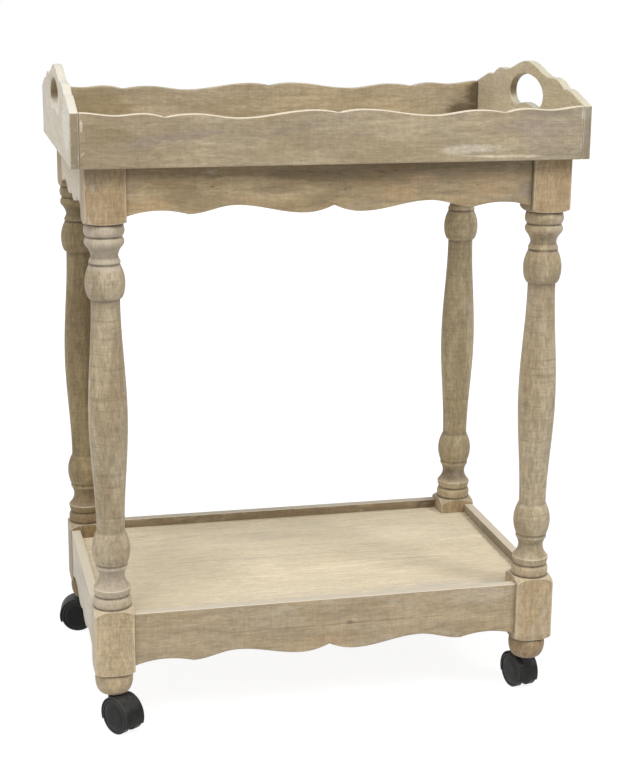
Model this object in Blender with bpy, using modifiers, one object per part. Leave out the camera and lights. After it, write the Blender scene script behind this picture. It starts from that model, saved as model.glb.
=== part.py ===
"""Serving trolley: a turned-leg wooden frame on four twin-wheel castors, with a lower shelf and a
lift-off tray.

Units are metres and +Z is up. The origin is on the floor, midway between the four legs. X runs along
the trolley's length and the front is at -Y. Every length below can be changed by itself.
"""

import math

import bmesh
import bpy
from mathutils import Matrix

# Fits
CLEARANCE = 0.0003          # between glued, screwed or resting pieces
RUNNING_CLEARANCE = 0.0001  # between a turning pin and its bore
OVERRUN = 0.002             # how far a cut runs past the face it opens
MERGE_DISTANCE = 0.00001    # corners nearer to each other than this are one

# Frame
LEG_SPACING_LENGTH = 0.456
LEG_SPACING_DEPTH = 0.276
LEG_SIDE = 0.041
FOOT_LENGTH = 0.0235
LOWER_BLOCK_LENGTH = 0.0718
TURNED_LENGTH = 0.399
UPPER_BLOCK_LENGTH = 0.0607
SHOULDER_LENGTH = 0.009     # where the square stock rounds over into the turning
SHELF_SHOULDER_LENGTH = 0.013   # the same above the lower block, where it is rounder
LEG_SEGMENTS = 16

# Aprons and their tenons
APRON_THICKNESS = 0.010
LONG_APRON_RECESS = 0.005   # behind the face of the leg block
SIDE_APRON_RECESS = 0.0015
TOP_APRON_HEIGHT = 0.054
LOWER_APRON_HEIGHT = 0.058
LOWER_APRON_DROP = 0.006    # apron's top edge below the top of the leg block
SCALLOP_RISE = 0.0092
TENON_THICKNESS = 0.006
TENON_LENGTH = 0.015
TENON_SHOULDER = 0.012      # height left off the tenon above and below

# Shelf
SHELF_LIP = 0.010           # how far the aprons stand above the shelf
SHELF_THICKNESS = 0.010
SHELF_BOARDS = 3
BATTEN_SIDE = 0.014

# Corner braces of the top frame
BRACE_THICKNESS = 0.016
BRACE_HEIGHT = 0.030
BRACE_DROP = 0.008          # below the top of the frame

# Tray
TRAY_OVERHANG = 0.013
TRAY_BOARD_THICKNESS = 0.0085
TRAY_RAIL_HEIGHT = 0.0535
TRAY_RAIL_SCALLOP = 0.0076
TRAY_END_HEIGHT = 0.0875
TRAY_BASE_THICKNESS = 0.005
TRAY_BASE_RAISE = 0.005     # base above the lower edge of the boards, which drop over the frame
TRAY_GROOVE_DEPTH = 0.004
HAND_HOLE_WIDTH = 0.104
HAND_HOLE_HEIGHT = 0.0345
HAND_HOLE_UP = 0.039        # lowest point of the hole above the lower edge of the end board

# Castors
WHEEL_DIAMETER = 0.038
WHEEL_WIDTH = 0.008
WHEEL_TREAD_GAP = 0.0007    # between the tread and the hood
WHEEL_SIDE_GAP = 0.0005     # between the wheel and the web
WHEEL_RIM = 0.003
WHEEL_DISC = 0.003
WHEEL_HUB_DIAMETER = 0.0085
WHEEL_EDGE = 0.001
WHEEL_CAP = 0.0015          # wall over the blind end of the wheel's bore
WHEEL_SEGMENTS = 16
HOOD_WALL = 0.0015
HOOD_LIP_HEIGHT = 0.0115    # edge of the hood above the floor
HOOD_SEGMENTS = 28
HOOD_SET_IN = 0.0004        # edge of the hood inside the wheel's outer face
WEB_THICKNESS = 0.008
TRAIL = 0.0128              # from the swivel axis to the axle
COLLAR_DIAMETER = 0.0135
COLLAR_STAND = 0.0004       # collar above the crest of the hood
AXLE_DIAMETER = 0.003
PIN_SEGMENTS = 12

# Stems and their sockets in the feet
STEM_DIAMETER = 0.008
STEM_LENGTH = 0.034
STEM_TIP = 0.0015
STEM_GROOVE = 0.0008
SPIGOT_DIAMETER = 0.0055
SPIGOT_LENGTH = 0.014
SOCKET_WALL = 0.0011
SOCKET_LENGTH = 0.037
SOCKET_FLANGE_DIAMETER = 0.017
SOCKET_FLANGE_THICKNESS = 0.0008

# Which way each castor trails, in degrees from +X towards +Y
TRAIL_ANGLES = {
    "front_left": -57.0,
    "front_right": 101.0,
    "rear_left": 171.0,
    "rear_right": 35.0,
}

# Ways that an outline or a turned profile runs from one station to the next. Each station is given
# by how far along the piece it lies and how far across.
LINE = "straight"
EASE = "level at both ends"
BROW = "sloping, then level"
FALL = "level, then sloping"
ROUND_ALONG = "quarter round that sets off along the piece"
ROUND_ACROSS = "quarter round that sets off across the piece"

# Stations of the turning between the leg's blocks, from the lower block up: way, share of the
# turned length, share of half the leg's side, steps.
TURNING_SHARES = [
    (LINE, 0.000, 0.880, 1),
    (ROUND_ACROSS, 0.017, 0.960, 2),
    (FALL, 0.031, 0.855, 1),
    (BROW, 0.052, 0.945, 2),
    (BROW, 0.084, 0.650, 3),
    (FALL, 0.108, 0.808, 2),
    (LINE, 0.117, 0.804, 1),
    (BROW, 0.157, 0.960, 3),
    (FALL, 0.206, 0.700, 3),
    (EASE, 0.505, 0.965, 4),
    (EASE, 0.810, 0.706, 4),
    (ROUND_ACROSS, 0.851, 0.976, 3),
    (FALL, 0.894, 0.775, 3),
    (LINE, 0.898, 0.745, 1),
    (LINE, 0.903, 0.768, 1),
    (EASE, 0.918, 0.662, 2),
    (FALL, 0.944, 0.900, 2),
    (BROW, 0.954, 0.968, 1),
    (FALL, 0.966, 0.862, 1),
    (BROW, 0.981, 0.985, 2),
    (FALL, 1.000, 0.890, 1),
]

# Stations of the bun foot, from its flat underside up: way, share of the foot's length, share of
# half the leg's side, steps.
FOOT_SHARES = [
    (LINE, 0.00, 0.610, 1),
    (ROUND_ACROSS, 0.66, 0.965, 3),
    (ROUND_ALONG, 0.96, 0.860, 2),
    (LINE, 1.00, 0.870, 1),
]

# Stations of the aprons' lower edges, from the middle out: way, share of half the length, share of
# the scallop's rise above the apron's lowest edge, steps.
LONG_APRON_SHARES = [
    (LINE, 0.000, 0.76, 1),
    (BROW, 0.140, 0.00, 3),
    (EASE, 0.480, 1.00, 5),
    (EASE, 0.705, 0.14, 4),
    (BROW, 0.850, 0.60, 3),
    (FALL, 1.000, 0.06, 3),
]
SHORT_APRON_SHARES = [
    (LINE, 0.000, 0.76, 1),
    (BROW, 0.250, 0.00, 3),
    (EASE, 0.600, 1.00, 5),
    (FALL, 1.000, 0.10, 3),
]

# Stations of the tray rails' top edge, from the middle out: way, share of half the length, share of
# the scallop's height above its lowest dip, steps.
RAIL_SHARES = [
    (LINE, 0.000, 0.59, 1),
    (BROW, 0.095, 0.97, 2),
    (EASE, 0.384, 0.08, 5),
    (EASE, 0.564, 0.67, 4),
    (FALL, 0.677, 0.30, 2),
    (BROW, 0.764, 0.79, 2),
    (EASE, 0.859, 0.57, 2),
    (EASE, 1.000, 1.00, 3),
]

# Stations of the tray ends' top edge, from the crown out: way, share of half the depth, share of
# the crown's height, steps.
TRAY_END_SHARES = [
    (LINE, 0.000, 1.000, 1),
    (EASE, 0.426, 0.850, 7),
    (BROW, 0.475, 0.858, 2),
    (FALL, 0.655, 0.752, 4),
    (BROW, 0.695, 0.758, 2),
    (FALL, 0.810, 0.718, 3),
    (LINE, 1.000, 0.612, 1),
]

# Stations of the hand hole, from the middle of its top edge round to the middle of its lower edge:
# way, share of half its width, share of its height, steps.
HAND_HOLE_SHARES = [
    (LINE, 0.00, 1.00, 1),
    (ROUND_ALONG, 1.00, 0.40, 6),
    (ROUND_ACROSS, 0.62, 0.00, 4),
    (EASE, 0.00, 0.10, 4),
]

# Levels above the floor that the pieces share
WHEEL_RADIUS = WHEEL_DIAMETER / 2
HOOD_RADIUS = WHEEL_RADIUS + WHEEL_TREAD_GAP + HOOD_WALL
SOCKET_OUTSIDE = STEM_DIAMETER / 2 + RUNNING_CLEARANCE + SOCKET_WALL
COLLAR_TOP = WHEEL_RADIUS + HOOD_RADIUS + COLLAR_STAND
SOCKET_BOTTOM = COLLAR_TOP + CLEARANCE
FOOT_BOTTOM = SOCKET_BOTTOM + SOCKET_FLANGE_THICKNESS + CLEARANCE
LOWER_BLOCK_BOTTOM = FOOT_BOTTOM + FOOT_LENGTH
LOWER_BLOCK_TOP = LOWER_BLOCK_BOTTOM + LOWER_BLOCK_LENGTH
UPPER_BLOCK_BOTTOM = LOWER_BLOCK_TOP + TURNED_LENGTH
LEG_TOP = UPPER_BLOCK_BOTTOM + UPPER_BLOCK_LENGTH
TOP_APRON_BOTTOM = LEG_TOP - TOP_APRON_HEIGHT
LOWER_APRON_TOP = LOWER_BLOCK_TOP - LOWER_APRON_DROP
LOWER_APRON_BOTTOM = LOWER_APRON_TOP - LOWER_APRON_HEIGHT
SHELF_TOP = LOWER_APRON_TOP - SHELF_LIP
SHELF_BOTTOM = SHELF_TOP - SHELF_THICKNESS
TRAY_BASE_BOTTOM = LEG_TOP + CLEARANCE
TRAY_BOTTOM = TRAY_BASE_BOTTOM - TRAY_BASE_RAISE

# Plan positions that the pieces share
HALF_LEG = LEG_SIDE / 2
LEG_X = LEG_SPACING_LENGTH / 2
LEG_Y = LEG_SPACING_DEPTH / 2
APRON_FACE_X = LEG_X + HALF_LEG - SIDE_APRON_RECESS
APRON_FACE_Y = LEG_Y + HALF_LEG - LONG_APRON_RECESS
APRON_INSIDE_X = APRON_FACE_X - APRON_THICKNESS
APRON_INSIDE_Y = APRON_FACE_Y - APRON_THICKNESS
LONG_GAP = LEG_SPACING_LENGTH - LEG_SIDE        # between the leg blocks, along X
SHORT_GAP = LEG_SPACING_DEPTH - LEG_SIDE        # between the leg blocks, along Y
TRAY_HALF_LENGTH = LEG_X + HALF_LEG + TRAY_OVERHANG
TRAY_HALF_DEPTH = LEG_Y + HALF_LEG + TRAY_OVERHANG
TRAY_INSIDE_X = TRAY_HALF_LENGTH - TRAY_BOARD_THICKNESS
TRAY_INSIDE_Y = TRAY_HALF_DEPTH - TRAY_BOARD_THICKNESS
CORNERS = {
    "front_left": (-1, -1),
    "front_right": (1, -1),
    "rear_right": (1, 1),
    "rear_left": (-1, 1),
}

for old in list(bpy.data.objects):
    bpy.data.objects.remove(old, do_unlink=True)

parts = bpy.data.collections.new("serving_trolley")
cutters = bpy.data.collections.new("cutters")
bpy.context.scene.collection.children.link(parts)
bpy.context.scene.collection.children.link(cutters)


def make_material(name, colour, roughness, metallic):
    material = bpy.data.materials.new(name)
    material.use_nodes = True
    shader = material.node_tree.nodes["Principled BSDF"]
    shader.inputs["Base Color"].default_value = (*colour, 1.0)
    shader.inputs["Roughness"].default_value = roughness
    shader.inputs["Metallic"].default_value = metallic
    material.diffuse_color = (*colour, 1.0)
    return material


WEATHERED_WOOD = make_material("weathered_wood", (0.36, 0.28, 0.18), 0.75, 0.0)
TURNED_WOOD = make_material("turned_wood", (0.33, 0.25, 0.15), 0.70, 0.0)
SHELF_WOOD = make_material("shelf_wood", (0.62, 0.52, 0.36), 0.70, 0.0)
TRAY_WOOD = make_material("tray_wood", (0.42, 0.33, 0.22), 0.75, 0.0)
PLAIN_WOOD = make_material("plain_wood", (0.50, 0.38, 0.24), 0.80, 0.0)
CASTOR_PLASTIC = make_material("castor_plastic", (0.035, 0.035, 0.035), 0.45, 0.0)
STEEL = make_material("steel", (0.55, 0.55, 0.57), 0.35, 1.0)


def place(name, mesh, material, location=(0.0, 0.0, 0.0), turn=None, parent=None):
    """Makes the named piece from a mesh, and puts it where it belongs."""
    piece = bpy.data.objects.new(name, mesh)
    piece.location = location
    if turn is not None:
        piece.rotation_euler = turn
    if parent is not None:
        piece.parent = parent
    if not mesh.materials:
        mesh.materials.append(material)
    parts.objects.link(piece)
    return piece


def pivot(name, location, turn=0.0):
    """An empty on a joint's axis, which carries the pieces that move there."""
    empty = bpy.data.objects.new(name, None)
    empty.location = location
    empty.rotation_euler = (0.0, 0.0, turn)
    parts.objects.link(empty)
    return empty


def cutting_tool(name, mesh, location=(0.0, 0.0, 0.0), turn=None, parent=None):
    tool = bpy.data.objects.new(name, mesh)
    tool.location = location
    if turn is not None:
        tool.rotation_euler = turn
    if parent is not None:
        tool.parent = parent
    tool.display_type = "WIRE"
    tool.hide_render = True
    cutters.objects.link(tool)
    return tool


def combine(piece, tool, operation):
    change = piece.modifiers.new(tool.name, "BOOLEAN")
    change.operation = operation
    change.object = tool
    change.solver = "EXACT"
    return change


def finished_mesh(piece):
    """The piece's mesh with its modifiers carried out. The piece and the tools that cut it go."""
    bpy.context.view_layer.update()
    evaluated = piece.evaluated_get(bpy.context.evaluated_depsgraph_get())
    mesh = bpy.data.meshes.new_from_object(evaluated)
    mesh.name = piece.name
    tools = {change.object for change in piece.modifiers if change.type == "BOOLEAN"}
    for used in [piece, *tools]:
        bpy.data.objects.remove(used, do_unlink=True)
    return mesh


def shade_round(mesh, sharp_angle=math.radians(38)):
    mesh.shade_smooth()
    mesh.set_sharp_from_angle(angle=sharp_angle)
    return mesh


def box_mesh(name, length, depth, height):
    solid = bmesh.new()
    bmesh.ops.create_cube(solid, size=1.0, matrix=Matrix.Diagonal((length, depth, height, 1.0)))
    mesh = bpy.data.meshes.new(name)
    solid.to_mesh(mesh)
    solid.free()
    return mesh


def round_bar_mesh(name, radius, length, segments):
    """A round bar along Z, centred on the origin."""
    solid = bmesh.new()
    bmesh.ops.create_cone(
        solid,
        cap_ends=True,
        segments=segments,
        radius1=radius,
        radius2=radius,
        depth=length,
    )
    mesh = bpy.data.meshes.new(name)
    solid.to_mesh(mesh)
    solid.free()
    return mesh


def round_outside(radius, segments):
    """The radius to the corners of a bore or wheel whose flats lie on the true circle."""
    return radius / math.cos(math.pi / segments)


def stretch(start, end, way, steps):
    """Points from start, which is left out, to end. Each is (along, across)."""
    points = []
    for step in range(1, steps + 1):
        share = step / steps
        angle = share * math.pi / 2
        along = share
        across = share
        if way == EASE:
            across = (1 - math.cos(share * math.pi)) / 2
        elif way == BROW:
            across = 1 - (1 - share) ** 2
        elif way == FALL:
            across = share**2
        elif way == ROUND_ALONG:
            along = math.sin(angle)
            across = 1 - math.cos(angle)
        elif way == ROUND_ACROSS:
            along = 1 - math.cos(angle)
            across = math.sin(angle)
        points.append((
            start[0] + (end[0] - start[0]) * along,
            start[1] + (end[1] - start[1]) * across,
        ))
    return points


def follow(stations):
    """The points of a whole outline, from stations of (way, along, across, steps)."""
    points = [stations[0][1:3]]
    for way, along, across, steps in stations[1:]:
        points += stretch(points[-1], (along, across), way, steps)
    return points


def scaled(shares, length, width, first_along=0.0, first_across=0.0):
    """Stations in metres, from a table of shares of a length and a width."""
    return [
        (way, first_along + along * length, first_across + across * width, steps)
        for way, along, across, steps in shares
    ]


def both_halves(points):
    """A half outline that starts on the middle line, with its mirror image before it."""
    return [(-along, across) for along, across in reversed(points[1:])] + points


def turned(name, profile, segments, closed=False):
    """A piece turned about Z. The profile is (height, radius), from the top down its outside."""
    mesh = bpy.data.meshes.new(name)
    corners = [(radius, 0.0, height) for height, radius in profile]
    edges = [(index, index + 1) for index in range(len(corners) - 1)]
    if closed:
        edges.append((len(corners) - 1, 0))
    mesh.from_pydata(corners, edges, [])
    piece = bpy.data.objects.new(name, mesh)
    parts.objects.link(piece)
    spin = piece.modifiers.new("turning", "SCREW")
    spin.axis = "Z"
    spin.angle = 2 * math.pi
    spin.screw_offset = 0.0
    spin.steps = segments
    spin.render_steps = segments
    spin.use_merge_vertices = True
    spin.merge_threshold = MERGE_DISTANCE
    spin.use_smooth_shade = False
    return piece


def board_mesh(name, loops, thickness):
    """A flat board from its outline and any holes, upright in XZ and centred on Y."""
    outline = bpy.data.curves.new(name, "CURVE")
    outline.dimensions = "2D"
    outline.fill_mode = "BOTH"
    outline.extrude = thickness / 2
    for loop in loops:
        spline = outline.splines.new("POLY")
        spline.points.add(len(loop) - 1)
        for point, (along, up) in zip(spline.points, loop):
            point.co = (along, up, 0.0, 1.0)
        spline.use_cyclic_u = True
    drawn = bpy.data.objects.new(name, outline)
    drawn.rotation_euler = (math.pi / 2, 0.0, 0.0)
    parts.objects.link(drawn)
    bpy.context.view_layer.update()
    evaluated = drawn.evaluated_get(bpy.context.evaluated_depsgraph_get())
    mesh = bpy.data.meshes.new_from_object(evaluated)
    mesh.transform(drawn.matrix_world)
    bpy.data.objects.remove(drawn, do_unlink=True)
    joined = bmesh.new()
    joined.from_mesh(mesh)
    bmesh.ops.remove_doubles(joined, verts=joined.verts, dist=MERGE_DISTANCE)
    joined.to_mesh(mesh)
    joined.free()
    mesh.name = name
    return mesh


# Legs
def leg_profile():
    """The leg's profile from its top down, in the round stock that reaches past the square's corners."""
    stock = LEG_SIDE * math.sqrt(2) / 2 + OVERRUN
    foot = follow(scaled(FOOT_SHARES, FOOT_LENGTH, HALF_LEG, FOOT_BOTTOM))
    turning = follow(scaled(TURNING_SHARES, TURNED_LENGTH, HALF_LEG, LOWER_BLOCK_TOP))
    upward = [(FOOT_BOTTOM, 0.0), *foot]
    upward += stretch(upward[-1], (LOWER_BLOCK_BOTTOM + SHOULDER_LENGTH, stock), ROUND_ACROSS, 2)
    upward.append((LOWER_BLOCK_TOP - SHELF_SHOULDER_LENGTH, stock))
    upward += stretch(upward[-1], turning[0], ROUND_ALONG, 2)
    upward += turning[1:]
    upward += stretch(upward[-1], (UPPER_BLOCK_BOTTOM + SHOULDER_LENGTH, stock), ROUND_ACROSS, 2)
    upward += [(LEG_TOP + OVERRUN, stock), (LEG_TOP + OVERRUN, 0.0)]
    return upward[::-1]


def mortise_tools(name, bottom, top, recess_x, recess_y):
    """Boxes that cut the mortises on the +X and +Y faces of a leg whose outer faces are -X and -Y,
    for the aprons that stand these recesses behind the outer faces."""
    depth = TENON_LENGTH + CLEARANCE
    length = depth + OVERRUN
    width = TENON_THICKNESS + 2 * CLEARANCE
    height = top - bottom - 2 * TENON_SHOULDER + 2 * CLEARANCE
    inward = HALF_LEG - depth + length / 2
    outer = HALF_LEG - APRON_THICKNESS / 2
    middle = (bottom + top) / 2
    along_x = box_mesh("mortise", length, width, height)
    along_y = box_mesh("mortise", width, length, height)
    return [
        cutting_tool(f"{name}_x", along_x, (inward, recess_x - outer, middle)),
        cutting_tool(f"{name}_y", along_y, (recess_y - outer, inward, middle)),
    ]


def leg_mesh(name, recess_x, recess_y):
    leg = turned(name, leg_profile(), LEG_SEGMENTS)
    square = box_mesh("square_stock", LEG_SIDE, LEG_SIDE, LEG_TOP - FOOT_BOTTOM + OVERRUN)
    middle = (LEG_TOP + FOOT_BOTTOM - OVERRUN) / 2
    combine(leg, cutting_tool(f"{name}_square", square, (0.0, 0.0, middle)), "INTERSECT")
    tools = mortise_tools(f"{name}_top_mortise", TOP_APRON_BOTTOM, LEG_TOP, recess_x, recess_y)
    tools += mortise_tools(f"{name}_low_mortise", LOWER_APRON_BOTTOM, LOWER_APRON_TOP, recess_x, recess_y)
    radius = round_outside(SOCKET_OUTSIDE + CLEARANCE, PIN_SEGMENTS)
    length = SOCKET_LENGTH + CLEARANCE + OVERRUN
    bore = round_bar_mesh("socket_bore", radius, length, PIN_SEGMENTS)
    tools.append(cutting_tool(f"{name}_bore", bore, (0.0, 0.0, FOOT_BOTTOM - OVERRUN + length / 2)))
    for tool in tools:
        combine(leg, tool, "DIFFERENCE")
    return shade_round(finished_mesh(leg))


def make_legs():
    """Legs a quarter turn apart take the long and the side apron on each other's faces."""
    meshes = [
        leg_mesh("leg", LONG_APRON_RECESS, SIDE_APRON_RECESS),
        leg_mesh("opposite_leg", SIDE_APRON_RECESS, LONG_APRON_RECESS),
    ]
    for quarter, (corner, (side_x, side_y)) in enumerate(CORNERS.items()):
        turn = (0.0, 0.0, quarter * math.pi / 2)
        location = (side_x * LEG_X, side_y * LEG_Y, 0.0)
        place(f"leg_{corner}", meshes[quarter % len(meshes)], TURNED_WOOD, location, turn)


# Aprons
def apron_mesh(name, gap, height, shares):
    """A scalloped apron between two leg blocks, with its tenons. Its lowest edge is at zero."""
    half = gap / 2 - CLEARANCE
    edge = both_halves(follow(scaled(shares, half, SCALLOP_RISE)))
    board = board_mesh(name, [[*edge, (half, height), (-half, height)]], APRON_THICKNESS)
    apron = bpy.data.objects.new(name, board)
    parts.objects.link(apron)
    length = gap + 2 * TENON_LENGTH
    tongue = box_mesh("tenons", length, TENON_THICKNESS, height - 2 * TENON_SHOULDER)
    combine(apron, cutting_tool("tenons", tongue, (0.0, 0.0, height / 2)), "UNION")
    return finished_mesh(apron)


def make_aprons(level, bottom, height):
    long_mesh = apron_mesh(f"{level}_long_apron", LONG_GAP, height, LONG_APRON_SHARES)
    short_mesh = apron_mesh(f"{level}_short_apron", SHORT_GAP, height, SHORT_APRON_SHARES)
    middle_x = APRON_FACE_X - APRON_THICKNESS / 2
    middle_y = APRON_FACE_Y - APRON_THICKNESS / 2
    across = (0.0, 0.0, math.pi / 2)
    place(f"{level}_apron_front", long_mesh, WEATHERED_WOOD, (0.0, -middle_y, bottom))
    place(f"{level}_apron_rear", long_mesh, WEATHERED_WOOD, (0.0, middle_y, bottom))
    place(f"{level}_apron_left", short_mesh, WEATHERED_WOOD, (-middle_x, 0.0, bottom), across)
    place(f"{level}_apron_right", short_mesh, WEATHERED_WOOD, (middle_x, 0.0, bottom), across)


# Corner braces, screwed across the inside corners of the top frame
def make_corner_braces():
    """Each brace's ends lie on two aprons, and its back on the leg's inner corner."""
    corner_x = LEG_SIDE - SIDE_APRON_RECESS - APRON_THICKNESS
    corner_y = LEG_SIDE - LONG_APRON_RECESS - APRON_THICKNESS
    near = corner_x + corner_y + CLEARANCE * math.sqrt(2)
    far = near + BRACE_THICKNESS * math.sqrt(2)
    plan = [
        (near - CLEARANCE, CLEARANCE),
        (far - CLEARANCE, CLEARANCE),
        (CLEARANCE, far - CLEARANCE),
        (CLEARANCE, near - CLEARANCE),
    ]
    mesh = board_mesh("corner_brace", [plan], BRACE_HEIGHT)
    mesh.transform(Matrix.Rotation(-math.pi / 2, 4, "X"))
    level = LEG_TOP - BRACE_DROP - BRACE_HEIGHT / 2
    for corner, (side_x, side_y) in CORNERS.items():
        turn = {(-1, -1): 0, (1, -1): 1, (1, 1): 2, (-1, 1): 3}[side_x, side_y] * math.pi / 2
        location = (side_x * APRON_INSIDE_X, side_y * APRON_INSIDE_Y, level)
        place(f"corner_brace_{corner}", mesh, PLAIN_WOOD, location, (0.0, 0.0, turn))


# Shelf: boards edge to edge on battens, notched round the leg blocks
def make_shelf():
    length = 2 * (APRON_INSIDE_X - CLEARANCE)
    depth = 2 * (APRON_INSIDE_Y - CLEARANCE)
    width = (depth - CLEARANCE * (SHELF_BOARDS - 1)) / SHELF_BOARDS
    notch = box_mesh("leg_notch", *[LEG_SIDE + 2 * CLEARANCE] * 2, SHELF_THICKNESS + 2 * OVERRUN)
    middle = (SHELF_TOP + SHELF_BOTTOM) / 2
    for index in range(SHELF_BOARDS):
        y = -depth / 2 + width / 2 + index * (width + CLEARANCE)
        name = f"shelf_board_{index + 1}"
        mesh = box_mesh(name, length, width, SHELF_THICKNESS)
        board = place(name, mesh, SHELF_WOOD, (0.0, y, middle))
        for corner, (side_x, side_y) in CORNERS.items():
            reaches = abs(side_y * LEG_Y - y) < (LEG_SIDE + width) / 2
            if reaches:
                location = (side_x * LEG_X, side_y * LEG_Y, middle)
                combine(board, cutting_tool(f"notch_{corner}_{index}", notch, location), "DIFFERENCE")


def make_battens():
    """Battens screwed to the inside of the lower aprons carry the shelf."""
    middle = SHELF_BOTTOM - CLEARANCE - BATTEN_SIDE / 2
    x = APRON_INSIDE_X - CLEARANCE - BATTEN_SIDE / 2
    y = APRON_INSIDE_Y - CLEARANCE - BATTEN_SIDE / 2
    long_mesh = box_mesh("long_batten", LONG_GAP - 2 * CLEARANCE, BATTEN_SIDE, BATTEN_SIDE)
    short_mesh = box_mesh("short_batten", BATTEN_SIDE, SHORT_GAP - 2 * CLEARANCE, BATTEN_SIDE)
    place("shelf_batten_front", long_mesh, PLAIN_WOOD, (0.0, -y, middle))
    place("shelf_batten_rear", long_mesh, PLAIN_WOOD, (0.0, y, middle))
    place("shelf_batten_left", short_mesh, PLAIN_WOOD, (-x, 0.0, middle))
    place("shelf_batten_right", short_mesh, PLAIN_WOOD, (x, 0.0, middle))


# Tray: four boards round a base panel that is let into grooves
def groove_tool(lift, board):
    """The base panel with its clearance, which cuts the groove that it slides into."""
    length = 2 * (TRAY_INSIDE_X + TRAY_GROOVE_DEPTH)
    depth = 2 * (TRAY_INSIDE_Y + TRAY_GROOVE_DEPTH)
    height = TRAY_BASE_THICKNESS + 2 * CLEARANCE
    mesh = box_mesh("base_groove", length, depth, height)
    level = TRAY_BASE_RAISE + TRAY_BASE_THICKNESS / 2
    return cutting_tool(f"base_groove_{board}", mesh, (0.0, 0.0, level), parent=lift)


def rail_mesh():
    half = TRAY_INSIDE_X - CLEARANCE
    dip = TRAY_RAIL_HEIGHT - TRAY_RAIL_SCALLOP
    edge = both_halves(follow(scaled(RAIL_SHARES, half, TRAY_RAIL_SCALLOP, first_across=dip)))
    return board_mesh("tray_rail", [[*edge, (half, 0.0), (-half, 0.0)]], TRAY_BOARD_THICKNESS)


def tray_end_mesh():
    half = TRAY_HALF_DEPTH
    edge = both_halves(follow(scaled(TRAY_END_SHARES, half, TRAY_END_HEIGHT)))
    shares = scaled(HAND_HOLE_SHARES, HAND_HOLE_WIDTH / 2, HAND_HOLE_HEIGHT, first_across=HAND_HOLE_UP)
    hole = both_halves(follow(shares))[1:]
    return board_mesh("tray_end", [[*edge, (half, 0.0), (-half, 0.0)], hole], TRAY_BOARD_THICKNESS)


def make_tray():
    lift = pivot("tray_lift", (0.0, 0.0, TRAY_BOTTOM))
    rail = rail_mesh()
    end = tray_end_mesh()
    x = TRAY_HALF_LENGTH - TRAY_BOARD_THICKNESS / 2
    y = TRAY_HALF_DEPTH - TRAY_BOARD_THICKNESS / 2
    across = (0.0, 0.0, math.pi / 2)
    boards = [
        place("tray_rail_front", rail, TRAY_WOOD, (0.0, -y, 0.0), parent=lift),
        place("tray_rail_rear", rail, TRAY_WOOD, (0.0, y, 0.0), parent=lift),
        place("tray_end_left", end, TRAY_WOOD, (-x, 0.0, 0.0), across, lift),
        place("tray_end_right", end, TRAY_WOOD, (x, 0.0, 0.0), across, lift),
    ]
    for board in boards:
        combine(board, groove_tool(lift, board.name), "DIFFERENCE")
    length = 2 * (TRAY_INSIDE_X + TRAY_GROOVE_DEPTH - CLEARANCE)
    depth = 2 * (TRAY_INSIDE_Y + TRAY_GROOVE_DEPTH - CLEARANCE)
    base = box_mesh("tray_base", length, depth, TRAY_BASE_THICKNESS)
    level = TRAY_BASE_RAISE + TRAY_BASE_THICKNESS / 2
    place("tray_base", base, SHELF_WOOD, (0.0, 0.0, level), parent=lift)


# Castors: their own frame has the swivel axis at the origin, and trails along +X
WEB_FACE = WEB_THICKNESS / 2
WHEEL_INSIDE = WEB_FACE + WHEEL_SIDE_GAP
WHEEL_OUTSIDE = WHEEL_INSIDE + WHEEL_WIDTH
LYING = (math.pi / 2, 0.0, 0.0)


def hood_mesh():
    """A moulded hood: a round body with a well for each wheel, a collar, and bores for its pins."""
    width = 2 * (WHEEL_OUTSIDE - HOOD_SET_IN)
    hood = bpy.data.objects.new("hood", round_bar_mesh("hood", HOOD_RADIUS, width, HOOD_SEGMENTS))
    hood.location = (TRAIL, 0.0, WHEEL_RADIUS)
    hood.rotation_euler = LYING
    parts.objects.link(hood)
    collar = round_bar_mesh("collar", COLLAR_DIAMETER / 2, COLLAR_TOP - WHEEL_RADIUS, PIN_SEGMENTS)
    combine(hood, cutting_tool("collar", collar, (0.0, 0.0, (COLLAR_TOP + WHEEL_RADIUS) / 2)), "UNION")
    well_width = WHEEL_OUTSIDE - WEB_FACE + OVERRUN
    radius = round_outside(HOOD_RADIUS - HOOD_WALL, HOOD_SEGMENTS)
    well = round_bar_mesh("well", radius, well_width, HOOD_SEGMENTS)
    for side in (-1, 1):
        location = (TRAIL, side * (WEB_FACE + well_width / 2), WHEEL_RADIUS)
        combine(hood, cutting_tool(f"wheel_well_{side}", well, location, LYING), "DIFFERENCE")
    below = box_mesh("below_lip", 2 * (HOOD_RADIUS + TRAIL), width + OVERRUN, 2 * HOOD_LIP_HEIGHT)
    combine(hood, cutting_tool("below_lip", below, (TRAIL, 0.0, 0.0)), "DIFFERENCE")
    radius = round_outside(AXLE_DIAMETER / 2 + RUNNING_CLEARANCE, PIN_SEGMENTS)
    axle_bore = round_bar_mesh("axle_bore", radius, width, PIN_SEGMENTS)
    location = (TRAIL, 0.0, WHEEL_RADIUS)
    combine(hood, cutting_tool("axle_bore", axle_bore, location, LYING), "DIFFERENCE")
    depth = SPIGOT_LENGTH + CLEARANCE + OVERRUN
    radius = round_outside(SPIGOT_DIAMETER / 2 + RUNNING_CLEARANCE, PIN_SEGMENTS)
    spigot = round_bar_mesh("spigot_bore", radius, depth, PIN_SEGMENTS)
    location = (0.0, 0.0, COLLAR_TOP + OVERRUN - depth / 2)
    combine(hood, cutting_tool("spigot_bore", spigot, location), "DIFFERENCE")
    bpy.context.view_layer.update()
    placed = hood.matrix_world.copy()
    mesh = finished_mesh(hood)
    mesh.transform(placed)
    return shade_round(mesh)


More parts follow.
